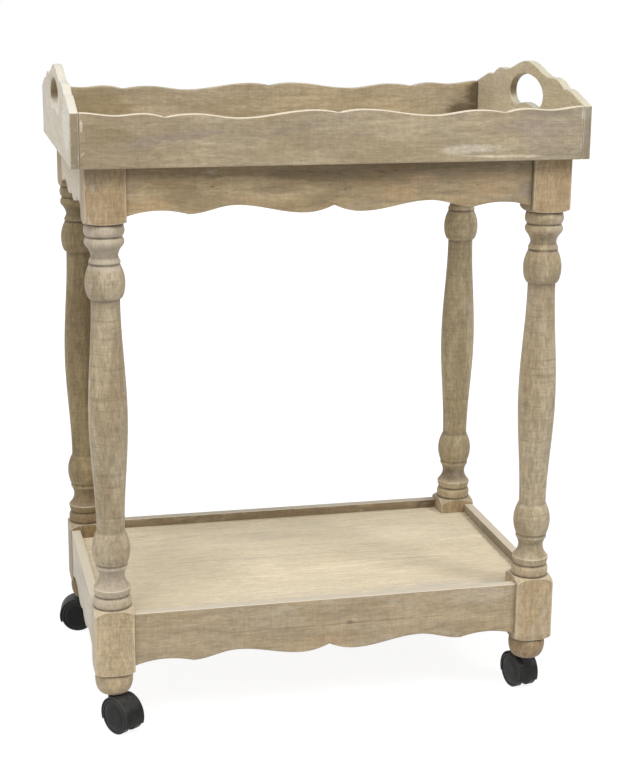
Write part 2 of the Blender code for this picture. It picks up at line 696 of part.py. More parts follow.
def wheel_mesh():
    """A cup-shaped wheel: Z runs out along the axle from the face next to the web."""
    tread = round_outside(WHEEL_RADIUS, WHEEL_SEGMENTS)
    bore = round_outside(AXLE_DIAMETER / 2 + RUNNING_CLEARANCE, WHEEL_SEGMENTS)
    hub = WHEEL_HUB_DIAMETER / 2
    profile = [
        (WHEEL_WIDTH - WHEEL_EDGE / 2, 0.0),
        (WHEEL_WIDTH, tread - WHEEL_RIM),
        (WHEEL_WIDTH - WHEEL_EDGE, tread),
        (0.0, tread),
        (0.0, tread - WHEEL_RIM),
        (WHEEL_WIDTH - WHEEL_DISC, tread - WHEEL_RIM - WHEEL_EDGE / 2),
        (WHEEL_WIDTH - WHEEL_DISC, hub + WHEEL_EDGE / 2),
        (0.0, hub),
        (0.0, bore),
        (WHEEL_WIDTH - WHEEL_CAP, bore),
        (WHEEL_WIDTH - WHEEL_CAP, 0.0),
    ]
    return shade_round(finished_mesh(turned("wheel", profile, WHEEL_SEGMENTS)))


def stem_mesh():
    """The steel stem: a spigot held in the hood, and the pin that turns in the leg's socket."""
    radius = STEM_DIAMETER / 2
    spigot = SPIGOT_DIAMETER / 2
    shoulder = COLLAR_TOP + CLEARANCE
    top = shoulder + STEM_LENGTH
    waist = top - 2 * STEM_TIP
    profile = [
        (top, 0.0),
        (top, radius - STEM_TIP),
        (top - STEM_TIP, radius),
        (waist, radius),
        (waist - STEM_GROOVE, radius - STEM_GROOVE),
        (waist - 2 * STEM_GROOVE, radius),
        (shoulder, radius),
        (shoulder, spigot),
        (COLLAR_TOP - SPIGOT_LENGTH, spigot),
        (COLLAR_TOP - SPIGOT_LENGTH, 0.0),
    ]
    return shade_round(finished_mesh(turned("stem", profile, PIN_SEGMENTS)))


def socket_mesh():
    """The sleeve pressed into the foot, with the flange that the castor's collar turns under."""
    bore = round_outside(STEM_DIAMETER / 2 + RUNNING_CLEARANCE, PIN_SEGMENTS)
    flange = SOCKET_FLANGE_DIAMETER / 2
    flange_top = SOCKET_BOTTOM + SOCKET_FLANGE_THICKNESS
    top = FOOT_BOTTOM + SOCKET_LENGTH
    profile = [
        (top, SOCKET_OUTSIDE),
        (flange_top, SOCKET_OUTSIDE),
        (flange_top, flange),
        (SOCKET_BOTTOM, flange),
        (SOCKET_BOTTOM, bore),
        (top, bore),
    ]
    return shade_round(finished_mesh(turned("socket", profile, PIN_SEGMENTS, closed=True)))


def make_castors():
    hood = hood_mesh()
    wheel = wheel_mesh()
    stem = stem_mesh()
    socket = socket_mesh()
    axle_length = 2 * (WHEEL_OUTSIDE - WHEEL_CAP - CLEARANCE)
    axle = round_bar_mesh("axle", AXLE_DIAMETER / 2, axle_length, PIN_SEGMENTS)
    shade_round(axle)
    lying = math.pi / 2
    flat_down = math.pi / 2 + math.pi / WHEEL_SEGMENTS
    for corner, (side_x, side_y) in CORNERS.items():
        turn = math.radians(TRAIL_ANGLES[corner])
        swivel = pivot(f"swivel_{corner}", (side_x * LEG_X, side_y * LEG_Y, 0.0), turn)
        place(f"castor_socket_{corner}", socket, STEEL, (side_x * LEG_X, side_y * LEG_Y, 0.0))
        place(f"castor_hood_{corner}", hood, CASTOR_PLASTIC, parent=swivel)
        place(f"castor_stem_{corner}", stem, STEEL, parent=swivel)
        place(f"castor_axle_{corner}", axle, STEEL, (TRAIL, 0.0, WHEEL_RADIUS), LYING, swivel)
        right = (TRAIL, -WHEEL_INSIDE, WHEEL_RADIUS)
        left = (TRAIL, WHEEL_INSIDE, WHEEL_RADIUS)
        place(f"castor_wheel_{corner}_a", wheel, CASTOR_PLASTIC, right, (lying, flat_down, 0.0), swivel)
        place(f"castor_wheel_{corner}_b", wheel, CASTOR_PLASTIC, left, (-lying, flat_down, 0.0), swivel)


make_legs()
make_aprons("top", TOP_APRON_BOTTOM, TOP_APRON_HEIGHT)
make_aprons("lower", LOWER_APRON_BOTTOM, LOWER_APRON_HEIGHT)
make_corner_braces()
make_battens()
make_shelf()
make_tray()
make_castors()
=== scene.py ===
"""Looks of the serving trolley: a limewashed, weathered wooden frame with turned legs, a shelf, a
lift-off tray and twin-wheel castors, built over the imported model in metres, front at -Y.
"""

import math

import bmesh
import bpy
from mathutils import Matrix, Vector


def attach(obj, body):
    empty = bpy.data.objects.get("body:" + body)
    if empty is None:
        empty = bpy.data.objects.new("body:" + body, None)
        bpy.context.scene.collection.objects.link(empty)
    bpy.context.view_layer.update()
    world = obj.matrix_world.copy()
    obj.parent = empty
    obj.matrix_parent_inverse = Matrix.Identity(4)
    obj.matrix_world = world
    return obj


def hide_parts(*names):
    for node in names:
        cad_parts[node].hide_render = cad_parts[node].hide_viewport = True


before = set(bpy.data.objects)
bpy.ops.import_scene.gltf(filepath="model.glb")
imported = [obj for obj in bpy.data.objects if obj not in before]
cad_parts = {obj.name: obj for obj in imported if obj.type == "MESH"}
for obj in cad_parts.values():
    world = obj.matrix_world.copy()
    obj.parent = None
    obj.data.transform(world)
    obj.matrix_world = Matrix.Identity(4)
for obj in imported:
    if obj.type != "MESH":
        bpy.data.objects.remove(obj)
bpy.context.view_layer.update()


# Legs: each is one piece of wood, left square where the aprons join it and turned on a lathe between
# and below. The squares keep worn arrises. Limewash sits in the turned hollows, and the creases
# between the beads are darkened, partly as dirt and partly as painted shade.
LEG_X = 0.228
LEG_Y = 0.138
LEG_SIDE = 0.041
HALF_LEG = LEG_SIDE / 2
STOCK_RADIUS = 0.031
FOOT_BOTTOM = 0.0420
FOOT_TOP = 0.0655
LOWER_BLOCK_TOP = 0.1373
UPPER_BLOCK_BOTTOM = 0.5363
LEG_TOP = 0.5970
SHOULDER = 0.009
SHELF_SHOULDER = 0.013
LEG_ARRIS = 0.0014
LEG_MARGIN = 0.0018
LARGE_FACE = 0.0012
OVERRUN = 0.002
MERGE_DISTANCE = 0.00001
SHARP = math.radians(32)
SMOOTH = math.radians(36)
TURNS = 64
CORNERS = {"front_left": (-1, -1), "front_right": (1, -1), "rear_right": (1, 1), "rear_left": (-1, 1)}

LINE = "straight"
EASE = "level at both ends"
BROW = "sloping, then level"
FALL = "level, then sloping"
ROUND_ALONG = "quarter round that sets off along the piece"
ROUND_ACROSS = "quarter round that sets off across the piece"

# The turning from the lower block up: way, share of its length, share of half the leg's side, steps
TURNING = [
    (LINE, 0.000, 0.880, 1),
    (ROUND_ACROSS, 0.017, 0.960, 6),
    (FALL, 0.031, 0.855, 4),
    (BROW, 0.052, 0.945, 7),
    (BROW, 0.084, 0.650, 9),
    (FALL, 0.108, 0.808, 7),
    (LINE, 0.117, 0.804, 2),
    (BROW, 0.157, 0.960, 9),
    (FALL, 0.206, 0.700, 10),
    (EASE, 0.505, 0.965, 16),
    (EASE, 0.810, 0.706, 16),
    (ROUND_ACROSS, 0.851, 0.976, 10),
    (FALL, 0.894, 0.775, 10),
    (LINE, 0.898, 0.745, 2),
    (LINE, 0.903, 0.768, 2),
    (EASE, 0.918, 0.662, 7),
    (FALL, 0.944, 0.900, 7),
    (BROW, 0.954, 0.968, 4),
    (FALL, 0.966, 0.862, 4),
    (BROW, 0.981, 0.985, 6),
    (FALL, 1.000, 0.890, 5),
]
# The bun foot from its flat underside up: way, share of its length, share of half the side, steps
FOOT = [
    (LINE, 0.00, 0.610, 1),
    (ROUND_ACROSS, 0.66, 0.965, 9),
    (ROUND_ALONG, 0.96, 0.860, 6),
    (LINE, 1.00, 0.870, 1),
]


def stretch(start, end, way, steps):
    """Points from start, which is left out, to end. Each is (along, across)."""
    points = []
    for step in range(1, steps + 1):
        share = step / steps
        angle = share * math.pi / 2
        along = share
        across = share
        if way == EASE:
            across = (1 - math.cos(share * math.pi)) / 2
        elif way == BROW:
            across = 1 - (1 - share) ** 2
        elif way == FALL:
            across = share**2
        elif way == ROUND_ALONG:
            along = math.sin(angle)
            across = 1 - math.cos(angle)
        elif way == ROUND_ACROSS:
            along = 1 - math.cos(angle)
            across = math.sin(angle)
        points.append((
            start[0] + (end[0] - start[0]) * along,
            start[1] + (end[1] - start[1]) * across,
        ))
    return points


def follow(shares, length, width, first_along=0.0, first_across=0.0):
    """The points of an outline, from a table of shares of a length and a width."""
    points = []
    for way, along, across, steps in shares:
        end = (first_along + along * length, first_across + across * width)
        points += stretch(points[-1], end, way, steps) if points else [end]
    return points


def take_up(piece):
    """Makes this the one piece that is selected."""
    bpy.ops.object.select_all(action="DESELECT")
    piece.select_set(True)
    bpy.context.view_layer.objects.active = piece


def trace(name, points):
    """Draws edges through the points, one corner at a time, and stays in edit mode."""
    bpy.ops.mesh.primitive_plane_add(size=OVERRUN, location=points[0], enter_editmode=True)
    piece = bpy.context.object
    piece.name = name
    bpy.ops.mesh.select_mode(type="VERT")
    bpy.ops.mesh.merge(type="CENTER")
    for start, end in zip(points, points[1:]):
        step = [b - a for a, b in zip(start, end)]
        bpy.ops.mesh.extrude_vertices_move(TRANSFORM_OT_translate={"value": step})
    return piece


def clean_skin():
    """In edit mode, joins corners that meet and turns every face outward."""
    bpy.ops.mesh.select_all(action="SELECT")
    bpy.ops.mesh.remove_doubles(threshold=MERGE_DISTANCE)
    bpy.ops.mesh.normals_make_consistent(inside=False)


def set_down(piece):
    """Leaves edit mode and puts the piece's place into its mesh."""
    if bpy.context.object and bpy.context.object.mode == "EDIT":
        bpy.ops.object.mode_set(mode="OBJECT")
    take_up(piece)
    bpy.ops.object.transform_apply(location=True, rotation=True, scale=True)


def carry_out(piece, kind, **settings):
    """Adds a modifier with these settings and applies it."""
    take_up(piece)
    change = piece.modifiers.new(kind.title(), kind)
    for key, value in settings.items():
        setattr(change, key, value)
    bpy.ops.object.modifier_apply(modifier=change.name)


def soften(piece, width):
    """Rounds every sharp edge, as wear and sandpaper do."""
    carry_out(
        piece, "BEVEL", width=width, segments=3, limit_method="ANGLE", angle_limit=SHARP, harden_normals=False
    )


def discard(*pieces):
    for piece in pieces:
        bpy.data.objects.remove(piece, do_unlink=True)


def cut(piece, tool, operation="DIFFERENCE"):
    """Cuts the piece with a tool, which goes afterwards."""
    carry_out(piece, "BOOLEAN", operation=operation, object=tool, solver="EXACT")
    discard(tool)


def name_new(name):
    """Names the piece that was just added, and puts its place into its mesh."""
    piece = bpy.context.object
    piece.name = name
    set_down(piece)
    return piece


def block(name, centre, size):
    """A rectangular block of that size."""
    bpy.ops.mesh.primitive_cube_add(size=1.0, location=centre, scale=size)
    return name_new(name)


def inset_flats(piece, margin):
    """Draws a line a little inside each large flat face, where its worn edge ends."""
    take_up(piece)
    bpy.context.tool_settings.mesh_select_mode = (False, False, True)
    bpy.ops.object.mode_set(mode="EDIT")
    bpy.ops.mesh.select_all(action="DESELECT")
    bpy.ops.object.mode_set(mode="OBJECT")
    for face in piece.data.polygons:
        face.select = face.area > LARGE_FACE
    bpy.ops.object.mode_set(mode="EDIT")
    bpy.ops.mesh.inset(thickness=margin, use_even_offset=True)
    bpy.ops.object.mode_set(mode="OBJECT")


FULL_EDGE = math.radians(26)
CREASE_REACH = 0.0015
CREASE_SPREAD = 0.6


def note_edges(piece):
    """Stores at each corner how sharply the surface turns there: edge where it stands out, groove
    where it is let in. The wood's wear reads the edges, and its dark creases, partly dirt and partly painted
    shade, read the grooves."""
    mesh = piece.data
    measured = bmesh.new()
    measured.from_mesh(mesh)
    edge = mesh.attributes.new("edge", "FLOAT", "POINT")
    groove = mesh.attributes.new("groove", "FLOAT", "POINT")
    for corner in measured.verts:
        turns = [line.calc_face_angle_signed(0.0) for line in corner.link_edges] or [0.0]
        edge.data[corner.index].value = min(1.0, max(0.0, max(turns)) / FULL_EDGE)
        groove.data[corner.index].value = min(1.0, max(0.0, -min(turns)) / FULL_EDGE)
    creases = [(corner, groove.data[corner.index].value) for corner in measured.verts]
    for corner, depth in creases:
        for line in corner.link_edges:
            if line.calc_length() < CREASE_REACH:
                beside = groove.data[line.other_vert(corner).index]
                beside.value = max(beside.value, CREASE_SPREAD * depth)
    measured.free()


def finish_skin(piece):
    """Shades the piece and stores its edges."""
    take_up(piece)
    bpy.ops.object.shade_smooth_by_angle(angle=SMOOTH)
    note_edges(piece)


def copy_to(piece, name, way):
    """A copy with its own mesh, moved by that matrix within the mesh."""
    twin = piece.copy()
    twin.data = piece.data.copy()
    twin.data.transform(way)
    twin.name = name
    twin.data.name = name
    bpy.context.scene.collection.objects.link(twin)
    return twin


def stands_for(piece, nodes, body, material):
    """The piece takes the place of these nodes, on their body, in that finish."""
    piece.data.materials.clear()
    piece.data.materials.append(material)
    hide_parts(*nodes)
    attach(piece, body)


def tone(levels):
    """A colour as the eye reads it, 0 to 255, in the linear light that shaders use."""
    linear = []
    for level in levels:
        share = level / 255
        linear.append(share / 12.92 if share <= 0.04045 else ((share + 0.055) / 1.055) ** 2.4)
    return (*linear, 1.0)


def add(kind, feeds, **settings):
    """Adds a node beside those that feed it. feeds gives inputs by name or number: a value, or another
    node's output."""
    tree = next(value.id_data for value in feeds.values() if isinstance(value, bpy.types.NodeSocket))
    made = tree.nodes.new(kind)
    for key, value in settings.items():
        setattr(made, key, value)
    for socket, value in feeds.items():
        if isinstance(value, bpy.types.NodeSocket):
            tree.links.new(value, made.inputs[socket])
        else:
            made.inputs[socket].default_value = value
    return made


def sums(operation, *values, clamp=False):
    """A Math node's result."""
    feeds = dict(enumerate(values))
    return add("ShaderNodeMath", feeds, operation=operation, use_clamp=clamp).outputs[0]


def times(one, other):
    return sums("MULTIPLY", one, other)


def vectors(operation, *values):
    """A Vector Math node's result."""
    feeds = dict(enumerate(values))
    return add("ShaderNodeVectorMath", feeds, operation=operation).outputs[0]


def part(vector, number):
    """One of a vector's three numbers."""
    return add("ShaderNodeSeparateXYZ", {0: vector}).outputs[number]


def scaled(vector, share):
    """A vector or a colour, times a number."""
    return add("ShaderNodeVectorMath", {0: vector, "Scale": share}, operation="SCALE").outputs[0]


def squeezed(place, share):
    """Squeezes a pattern across the grain, which draws it out along the grain."""
    return vectors("MULTIPLY", place, (1.0, share, share))


def ramp(value, low, high, to_low=0.0, to_high=1.0):
    """value from low to high, smoothly, as to_low to to_high."""
    feeds = {"Value": value, "From Min": low, "From Max": high, "To Min": to_low, "To Max": to_high}
    return add("ShaderNodeMapRange", feeds, interpolation_type="SMOOTHSTEP").outputs[0]


def blend(share, under, over):
    """over laid on under by that share."""
    return add("ShaderNodeMix", {0: share, 6: under, 7: over}, data_type="RGBA").outputs[2]


def lay(colour, where, share, over):
    """A tone laid on the colour in those places, by that share."""
    return blend(times(where, share), colour, tone(over))


def cloud(vector, scale, detail, roughness, distortion=0.0, result="Fac"):
    """Smooth random variation, about 0 to 1."""
    feeds = {"Vector": vector, "Scale": scale, "Detail": detail}
    feeds.update({"Roughness": roughness, "Distortion": distortion})
    return add("ShaderNodeTexNoise", feeds).outputs[result]


def new_group(name, numbers, results):
    """A shader node group that takes a place and these numbers, and gives these results."""
    group = bpy.data.node_groups.new(name, "ShaderNodeTree")
    group.interface.new_socket("Vector", in_out="INPUT", socket_type="NodeSocketVector")
    for label, value in numbers.items():
        socket = group.interface.new_socket(label, in_out="INPUT", socket_type="NodeSocketFloat")
        socket.default_value = value
    for label in results:
        group.interface.new_socket(label, in_out="OUTPUT", socket_type="NodeSocketFloat")
    start = group.nodes.new("NodeGroupInput")
    end = group.nodes.new("NodeGroupOutput")
    return group, start.outputs, end.inputs


def use_group(group, feeds):
    return add("ShaderNodeGroup", feeds, node_tree=group).outputs


def make_grain_group():
    """Wood with its grain along X: figure, streaks, fibre, mottle, pores, knots, and marks across."""
    labels = ("Figure", "Streaks", "Fibre", "Mottle", "Pores", "Knots", "Scores", "Rings", "Height")
    tree, given, put = new_group("wood_grain", {"Waver": 1.0, "Knot Size": 0.004}, labels)
    place = given["Vector"]

    # A few small knots, and the fibres that run round them
    knots_per_metre = 24.0
    clear_wood = 0.84
    bend_reach = 3.2
    bend = -0.75
    spread = vectors("MULTIPLY", place, (knots_per_metre,) * 3)
    cells = add("ShaderNodeTexVoronoi", {"Vector": spread, "Scale": 1.0})
    chance = part(cells.outputs["Color"], 0)
    here = sums("GREATER_THAN", chance, clear_wood)
    reach = sums("DIVIDE", cells.outputs["Distance"], knots_per_metre)
    lean = vectors("SUBTRACT", spread, cells.outputs["Position"])
    nearness = sums("DIVIDE", reach, times(given["Knot Size"], bend_reach))
    falling = times(sums("POWER", nearness, 2.0), -1.0)
    swell = times(sums("POWER", 2.718, falling), here)
    pushed = scaled(scaled(lean, bend / knots_per_metre), swell)
    round_it = ramp(sums("DIVIDE", reach, given["Knot Size"]), 1.1, 0.45)
    knots = times(round_it, here)

    # The grain's slow waver
    wave = cloud(place, 4.5, 2.0, 0.5, result="Color")
    centred = vectors("SUBTRACT", wave, (0.5, 0.5, 0.5))
    wavered = scaled(vectors("MULTIPLY", centred, (0.0, 0.034, 0.034)), given["Waver"])
    moved = vectors("ADD", vectors("ADD", place, wavered), pushed)

    figure = cloud(squeezed(moved, 6.0), 9.0, 4.0, 0.55, 0.3)
    streaks = cloud(squeezed(moved, 22.0), 17.0, 4.0, 0.66, 0.1)
    fibre = cloud(squeezed(moved, 9.0), 110.0, 3.0, 0.65)
    pores = ramp(cloud(squeezed(moved, 7.0), 230.0, 1.0, 0.5), 0.64, 0.73)
    mottle = cloud(squeezed(place, 3.0), 84.0, 5.0, 0.8)
    scores = cloud(squeezed(place, 0.12), 430.0, 3.0, 0.7)
    rings = ramp(cloud(squeezed(place, 0.07), 240.0, 3.0, 0.6), 0.57, 0.68)

    rise = sums("ADD", times(fibre, 0.5), times(streaks, 0.35))
    rise = sums("MULTIPLY_ADD", scores, 0.3, rise)
    height = sums("SUBTRACT", rise, times(pores, 0.5))
    results = (figure, streaks, fibre, mottle, pores, knots, scores, rings, height)
    for label, result in zip(labels, results):
        tree.links.new(result, put[label])
    return tree


def make_limewash_group():
    """Where limewash was left on the wood: in patches, where it was held, and along the fibres."""
    numbers = {"Amount": 0.4, "Held": 0.0, "Fibre": 0.5}
    tree, given, put = new_group("limewash", numbers, ("Wash", "Smears"))
    place = given["Vector"]
    patches = cloud(squeezed(place, 2.4), 13.0, 5.0, 0.62, 0.3)
    held = sums("MULTIPLY_ADD", given["Held"], 0.30, patches)
    level = sums("ADD", held, times(sums("SUBTRACT", given["Fibre"], 0.5), 0.5))
    start = sums("SUBTRACT", 0.86, times(given["Amount"], 0.62))
    share = sums("DIVIDE", sums("SUBTRACT", level, start), 0.30, clamp=True)
    tree.links.new(share, put["Wash"])
    smear = cloud(squeezed(place, 3.5), 34.0, 4.0, 0.7)
    where = cloud(vectors("ADD", place, (0.37, 0.11, 0.23)), 7.0, 1.0, 0.5)
    thick = sums("MULTIPLY_ADD", sums("SUBTRACT", where, 0.5), 0.9, smear)
    tree.links.new(ramp(thick, 0.66, 0.80), put["Smears"])
    return tree


def make_wear_group():
    """Edges rubbed pale, and creases darkened partly as dirt and partly as painted shade, both broken up as
    hands and rags leave them.
    """
    tree, given, put = new_group("wear", {"Edge": 0.0, "Groove": 0.0}, ("Rubbed", "Dirt and Shade"))
    breakup = cloud(given["Vector"], 70.0, 4.0, 0.65)
    worn = sums("ADD", given["Edge"], times(sums("SUBTRACT", breakup, 0.5), 1.3))
    tree.links.new(times(ramp(worn, 0.42, 0.95), given["Edge"]), put["Rubbed"])
    kept = times(given["Groove"], ramp(breakup, 0.25, 0.6, 0.55, 1.0))
    tree.links.new(kept, put["Dirt and Shade"])
    return tree


WOOD_GRAIN = make_grain_group()
LIMEWASH = make_limewash_group()
WEAR = make_wear_group()
GRAIN_TURNS = {"x": (0.0, 0.0, 0.0), "y": (0.0, 0.0, -math.pi / 2), "z": (0.0, math.pi / 2, 0.0)}


def attribute(tree, name):
    made = tree.nodes.new("ShaderNodeAttribute")
    made.attribute_name = name
    return made.outputs["Fac"]


def new_material(name):
    material = bpy.data.materials.new(name)
    material.use_nodes = True
    material.node_tree.nodes.clear()
    tree = material.node_tree
    shader = tree.nodes.new("ShaderNodeBsdfPrincipled")
    end = tree.nodes.new("ShaderNodeOutputMaterial")
    tree.links.new(shader.outputs[0], end.inputs[0])
    return material, tree, shader


def coat(shader, colour, roughness, height, strength, depth):
    """Gives the shader its colour, roughness and fine relief."""
    bump = add("ShaderNodeBump", {"Strength": strength, "Distance": depth, "Height": height})
    for label, result in (("Base Color", colour), ("Roughness", roughness), ("Normal", bump.outputs[0])):
        shader.id_data.links.new(result, shader.inputs[label])


def oval(coordinates, breakup, centre, size, lean=0.0):
    """1 inside an oval with a ragged rim, used for stains and for painted light and shade. lean turns it up
    to the right, in degrees.
    """
    feeds = {"Vector": coordinates["Object"], "Location": centre, "Scale": size}
    feeds["Rotation"] = (0.0, math.radians(-lean), 0.0)
    local = add("ShaderNodeMapping", feeds, vector_type="TEXTURE").outputs[0]
    reach = add("ShaderNodeVectorMath", {0: local}, operation="LENGTH").outputs["Value"]
    ragged = sums("MULTIPLY_ADD", sums("SUBTRACT", breakup, 0.5), 1.1, reach)
    return ramp(ragged, 1.05, 0.45)


def limed_wood(
    name, along, pale, brown, grey, wash=0.4, wash_tone=(196, 187, 172), rubbed_and_lit_tone=(226, 215, 192),
    shift=(0.0, 0.0, 0.0), waver=0.5, knot_size=0.0032, streaky=0.11, scored=0.06, greying=0.6,
    mottled=0.12, rubbed=0.28, top_wear_and_light=0.30, sheen=0.35, crease_dirt_and_shade=0.5, turned=False, hole_shade=0.0, stains_and_shade=(),
    knots=(),
):
    """Weathered wood with its grain along an axis, under thin limewash with rubbed edges. Each stain, or
    patch of painted light or shade, is (centre, half sizes, tone, share), with its lean last if it has one,
    each knot (centre, half size)."""
    material, tree, shader = new_material(name)
    coordinates = tree.nodes.new("ShaderNodeTexCoord").outputs
    feeds = {"Vector": coordinates["Object"], "Location": shift, "Rotation": GRAIN_TURNS[along]}
    place = add("ShaderNodeMapping", feeds).outputs[0]
    grain = use_group(WOOD_GRAIN, {"Vector": place, "Waver": waver, "Knot Size": knot_size})
    feeds = {"Vector": place, "Amount": wash, "Held": attribute(tree, "held"), "Fibre": grain["Fibre"]}
    lime = use_group(LIMEWASH, feeds)
    feeds = {"Vector": place, "Edge": attribute(tree, "edge"), "Groove": attribute(tree, "groove")}
    wear = use_group(WEAR, feeds)
    upward = part(coordinates["Normal"], 2)

    # The wood under the wash
    colour = blend(ramp(grain["Figure"], 0.36, 0.64), tone(brown), tone(pale))
    drift = cloud(squeezed(place, 2.2), 7.0, 3.0, 0.55, 0.5)
    colour = blend(ramp(drift, 0.42, 0.66, 0.0, greying), colour, tone(grey))
    if turned:
        # The squares took less grey and a warmer tone than the turning, whose tool left fine dark rings. The
        # upper square's fuller share of that darker tone is partly painted shade under the tray.
        square = attribute(tree, "square")
        colour = lay(colour, square, 0.60, (174, 146, 107))
        ringed = times(grain["Rings"], sums("SUBTRACT", 1.0, square))
        colour = lay(colour, ringed, 0.26, (100, 84, 62))
    patch_rim = cloud(squeezed(place, 3.0), 45.0, 3.0, 0.6)
    for centre, size, stain_and_shade_tone, share, *lean in stains_and_shade:
        stain_and_shade_mask = oval(coordinates, patch_rim, centre, size, *lean)
        colour = lay(colour, stain_and_shade_mask, share, stain_and_shade_tone)
    for pattern, low, high, darkest, palest in (
        ("Streaks", 0.30, 0.70, 1.0 - streaky, 1.0 + streaky * 0.8),
        ("Fibre", 0.30, 0.70, 0.88, 1.09),
        ("Scores", 0.30, 0.70, 1.0 - scored, 1.0 + scored * 0.8),
        ("Mottle", 0.36, 0.64, 1.0 - mottled, 1.0 + mottled * 0.7),
    ):
        colour = scaled(colour, ramp(grain[pattern], low, high, darkest, palest))
    colour = lay(colour, grain["Knots"], 0.70, (92, 74, 54))
    for centre, size in knots:
        dark = oval(coordinates, patch_rim, centre, (size * 1.5, 0.02, size))
        colour = lay(colour, dark, 0.48, (88, 72, 54))

    # End grain drinks more stain than the faces do, and the walls of the hand hole get painted shade
    if not turned:
        straight = vectors("ABSOLUTE", coordinates["Normal"])
        axis = part(straight, "xyz".index(along))
        colour = blend(ramp(axis, 0.75, 0.98, 0.0, 0.68), colour, tone((108, 91, 69)))
    if hole_shade:
        colour = lay(colour, attribute(tree, "hole_shade"), hole_shade, (96, 82, 62))

    # Limewash, smears of it, pores that took none, pale tops (partly worn wash, partly painted light from
    # above), rubbed edges, and dark creases (partly dirt, partly painted shade)
    colour = lay(colour, lime["Wash"], 0.62, wash_tone)
    colour = lay(colour, lime["Smears"], 0.36, wash_tone)
    colour = lay(colour, grain["Pores"], 0.26, (96, 82, 64))
    # Upward faces turn paler: partly worn wash and dust, partly painted light from above
    colour = blend(ramp(upward, 0.45, 0.95, 0.0, top_wear_and_light), colour, tone(rubbed_and_lit_tone))
    worn_and_lit_edges = ramp(upward, 0.10, 0.60, rubbed, min(1.0, rubbed + top_wear_and_light))
    colour = lay(colour, wear["Rubbed"], worn_and_lit_edges, rubbed_and_lit_tone)
    colour = lay(colour, wear["Dirt and Shade"], crease_dirt_and_shade, (66, 54, 40))

    dull = sums("SUBTRACT", ramp(grain["Streaks"], 0.3, 0.7, 0.66, 0.80), times(wear["Rubbed"], 0.12))
    raised = sums("MULTIPLY_ADD", lime["Smears"], 0.25, grain["Height"])
    coat(shader, colour, dull, raised, 0.5, 0.0005)
    shader.inputs["Specular IOR Level"].default_value = 0.45
    shader.inputs["Sheen Weight"].default_value = sheen
    shader.inputs["Sheen Roughness"].default_value = 0.35
    return material


# Where the rings and the vase's necks are, as shares of the turning's length
LOW_RINGS_END = 0.125
LOW_RINGS_FADE = 0.020
HIGH_RINGS_START = 0.878
HIGH_RINGS_FADE = 0.014
VASE_NECKS = (0.206, 0.810)
NECK_REACH = 0.012
# How much of its dark crease colour, partly dirt and partly painted shade, a neck keeps, and how far the
# lower block has a square's colours
NECK_DIRT_AND_SHADE = 0.35
LOWER_SQUARE = 0.45
# The dark lines where the turning meets the foot and the blocks are painted shadow, like that under each
# block's rim
BLOCK_LINES = (FOOT_TOP, LOWER_BLOCK_TOP, UPPER_BLOCK_BOTTOM)
BLOCK_CREASE = 0.0026


def at_leg(corner):
    """The move from the origin to a leg's axis."""
    side_x, side_y = CORNERS[corner]
    return Matrix.Translation((side_x * LEG_X, side_y * LEG_Y, 0.0))


def make_leg():
    """One leg on the origin's axis: the profile is spun, then cut to the square."""
    turning = follow(TURNING, UPPER_BLOCK_BOTTOM - LOWER_BLOCK_TOP, HALF_LEG, LOWER_BLOCK_TOP)
    foot = follow(FOOT, FOOT_TOP - FOOT_BOTTOM, HALF_LEG, FOOT_BOTTOM)
    profile = [(FOOT_BOTTOM, 0.0), *foot]
    profile += stretch(profile[-1], (FOOT_TOP + SHOULDER, STOCK_RADIUS), ROUND_ACROSS, 8)
    profile.append((LOWER_BLOCK_TOP - SHELF_SHOULDER, STOCK_RADIUS))
    profile += stretch(profile[-1], turning[0], ROUND_ALONG, 8)
    profile += turning[1:]
    profile += stretch(profile[-1], (UPPER_BLOCK_BOTTOM + SHOULDER, STOCK_RADIUS), ROUND_ACROSS, 8)
    profile += [(LEG_TOP + OVERRUN, STOCK_RADIUS), (LEG_TOP + OVERRUN, 0.0)]
    leg = trace("leg", [(radius, 0.0, height) for height, radius in profile])
    bpy.ops.mesh.select_all(action="SELECT")
    bpy.ops.mesh.spin(steps=TURNS, angle=2 * math.pi, center=(0.0, 0.0, 0.0), axis=(0.0, 0.0, 1.0))
    clean_skin()
    set_down(leg)
    height = LEG_TOP - FOOT_BOTTOM + OVERRUN
    stock = block("square_stock", (0.0, 0.0, LEG_TOP - height / 2), (LEG_SIDE, LEG_SIDE, height))
    soften(stock, LEG_ARRIS)
    cut(leg, stock, "INTERSECT")
    inset_flats(leg, LEG_MARGIN)
    finish_skin(leg)

    # How much wash each ring holds: most on the beads and coves next to the blocks. Dark crease colour,
    # partly dirt and partly painted shade, lies thickest where the turning meets the blocks and thinly at the
    # vase's necks.
    for label in ("held", "square"):
        leg.data.attributes.new(label, "FLOAT", "POINT")
    held, square, groove = (leg.data.attributes[label].data for label in ("held", "square", "groove"))
    length = UPPER_BLOCK_BOTTOM - LOWER_BLOCK_TOP
    for index, corner in enumerate(leg.data.vertices):
        share = (corner.co.z - LOWER_BLOCK_TOP) / length
        if 0.0 < share < 1.0:
            low = min(1.0, max(0.0, (LOW_RINGS_END - share) / LOW_RINGS_FADE))
            high = min(1.0, max(0.0, (share - HIGH_RINGS_START) / HIGH_RINGS_FADE))
            held[index].value = max(low, high)
            if min(abs(share - place) for place in VASE_NECKS) < NECK_REACH:
                groove[index].value *= NECK_DIRT_AND_SHADE
        else:
            square[index].value = 1.0 if share > 0.5 else LOWER_SQUARE
        if corner.co.xy.length < HALF_LEG:
            away = min(abs(corner.co.z - level) for level in BLOCK_LINES)
            groove[index].value = max(groove[index].value, 1.0 - away / BLOCK_CREASE)
    return leg
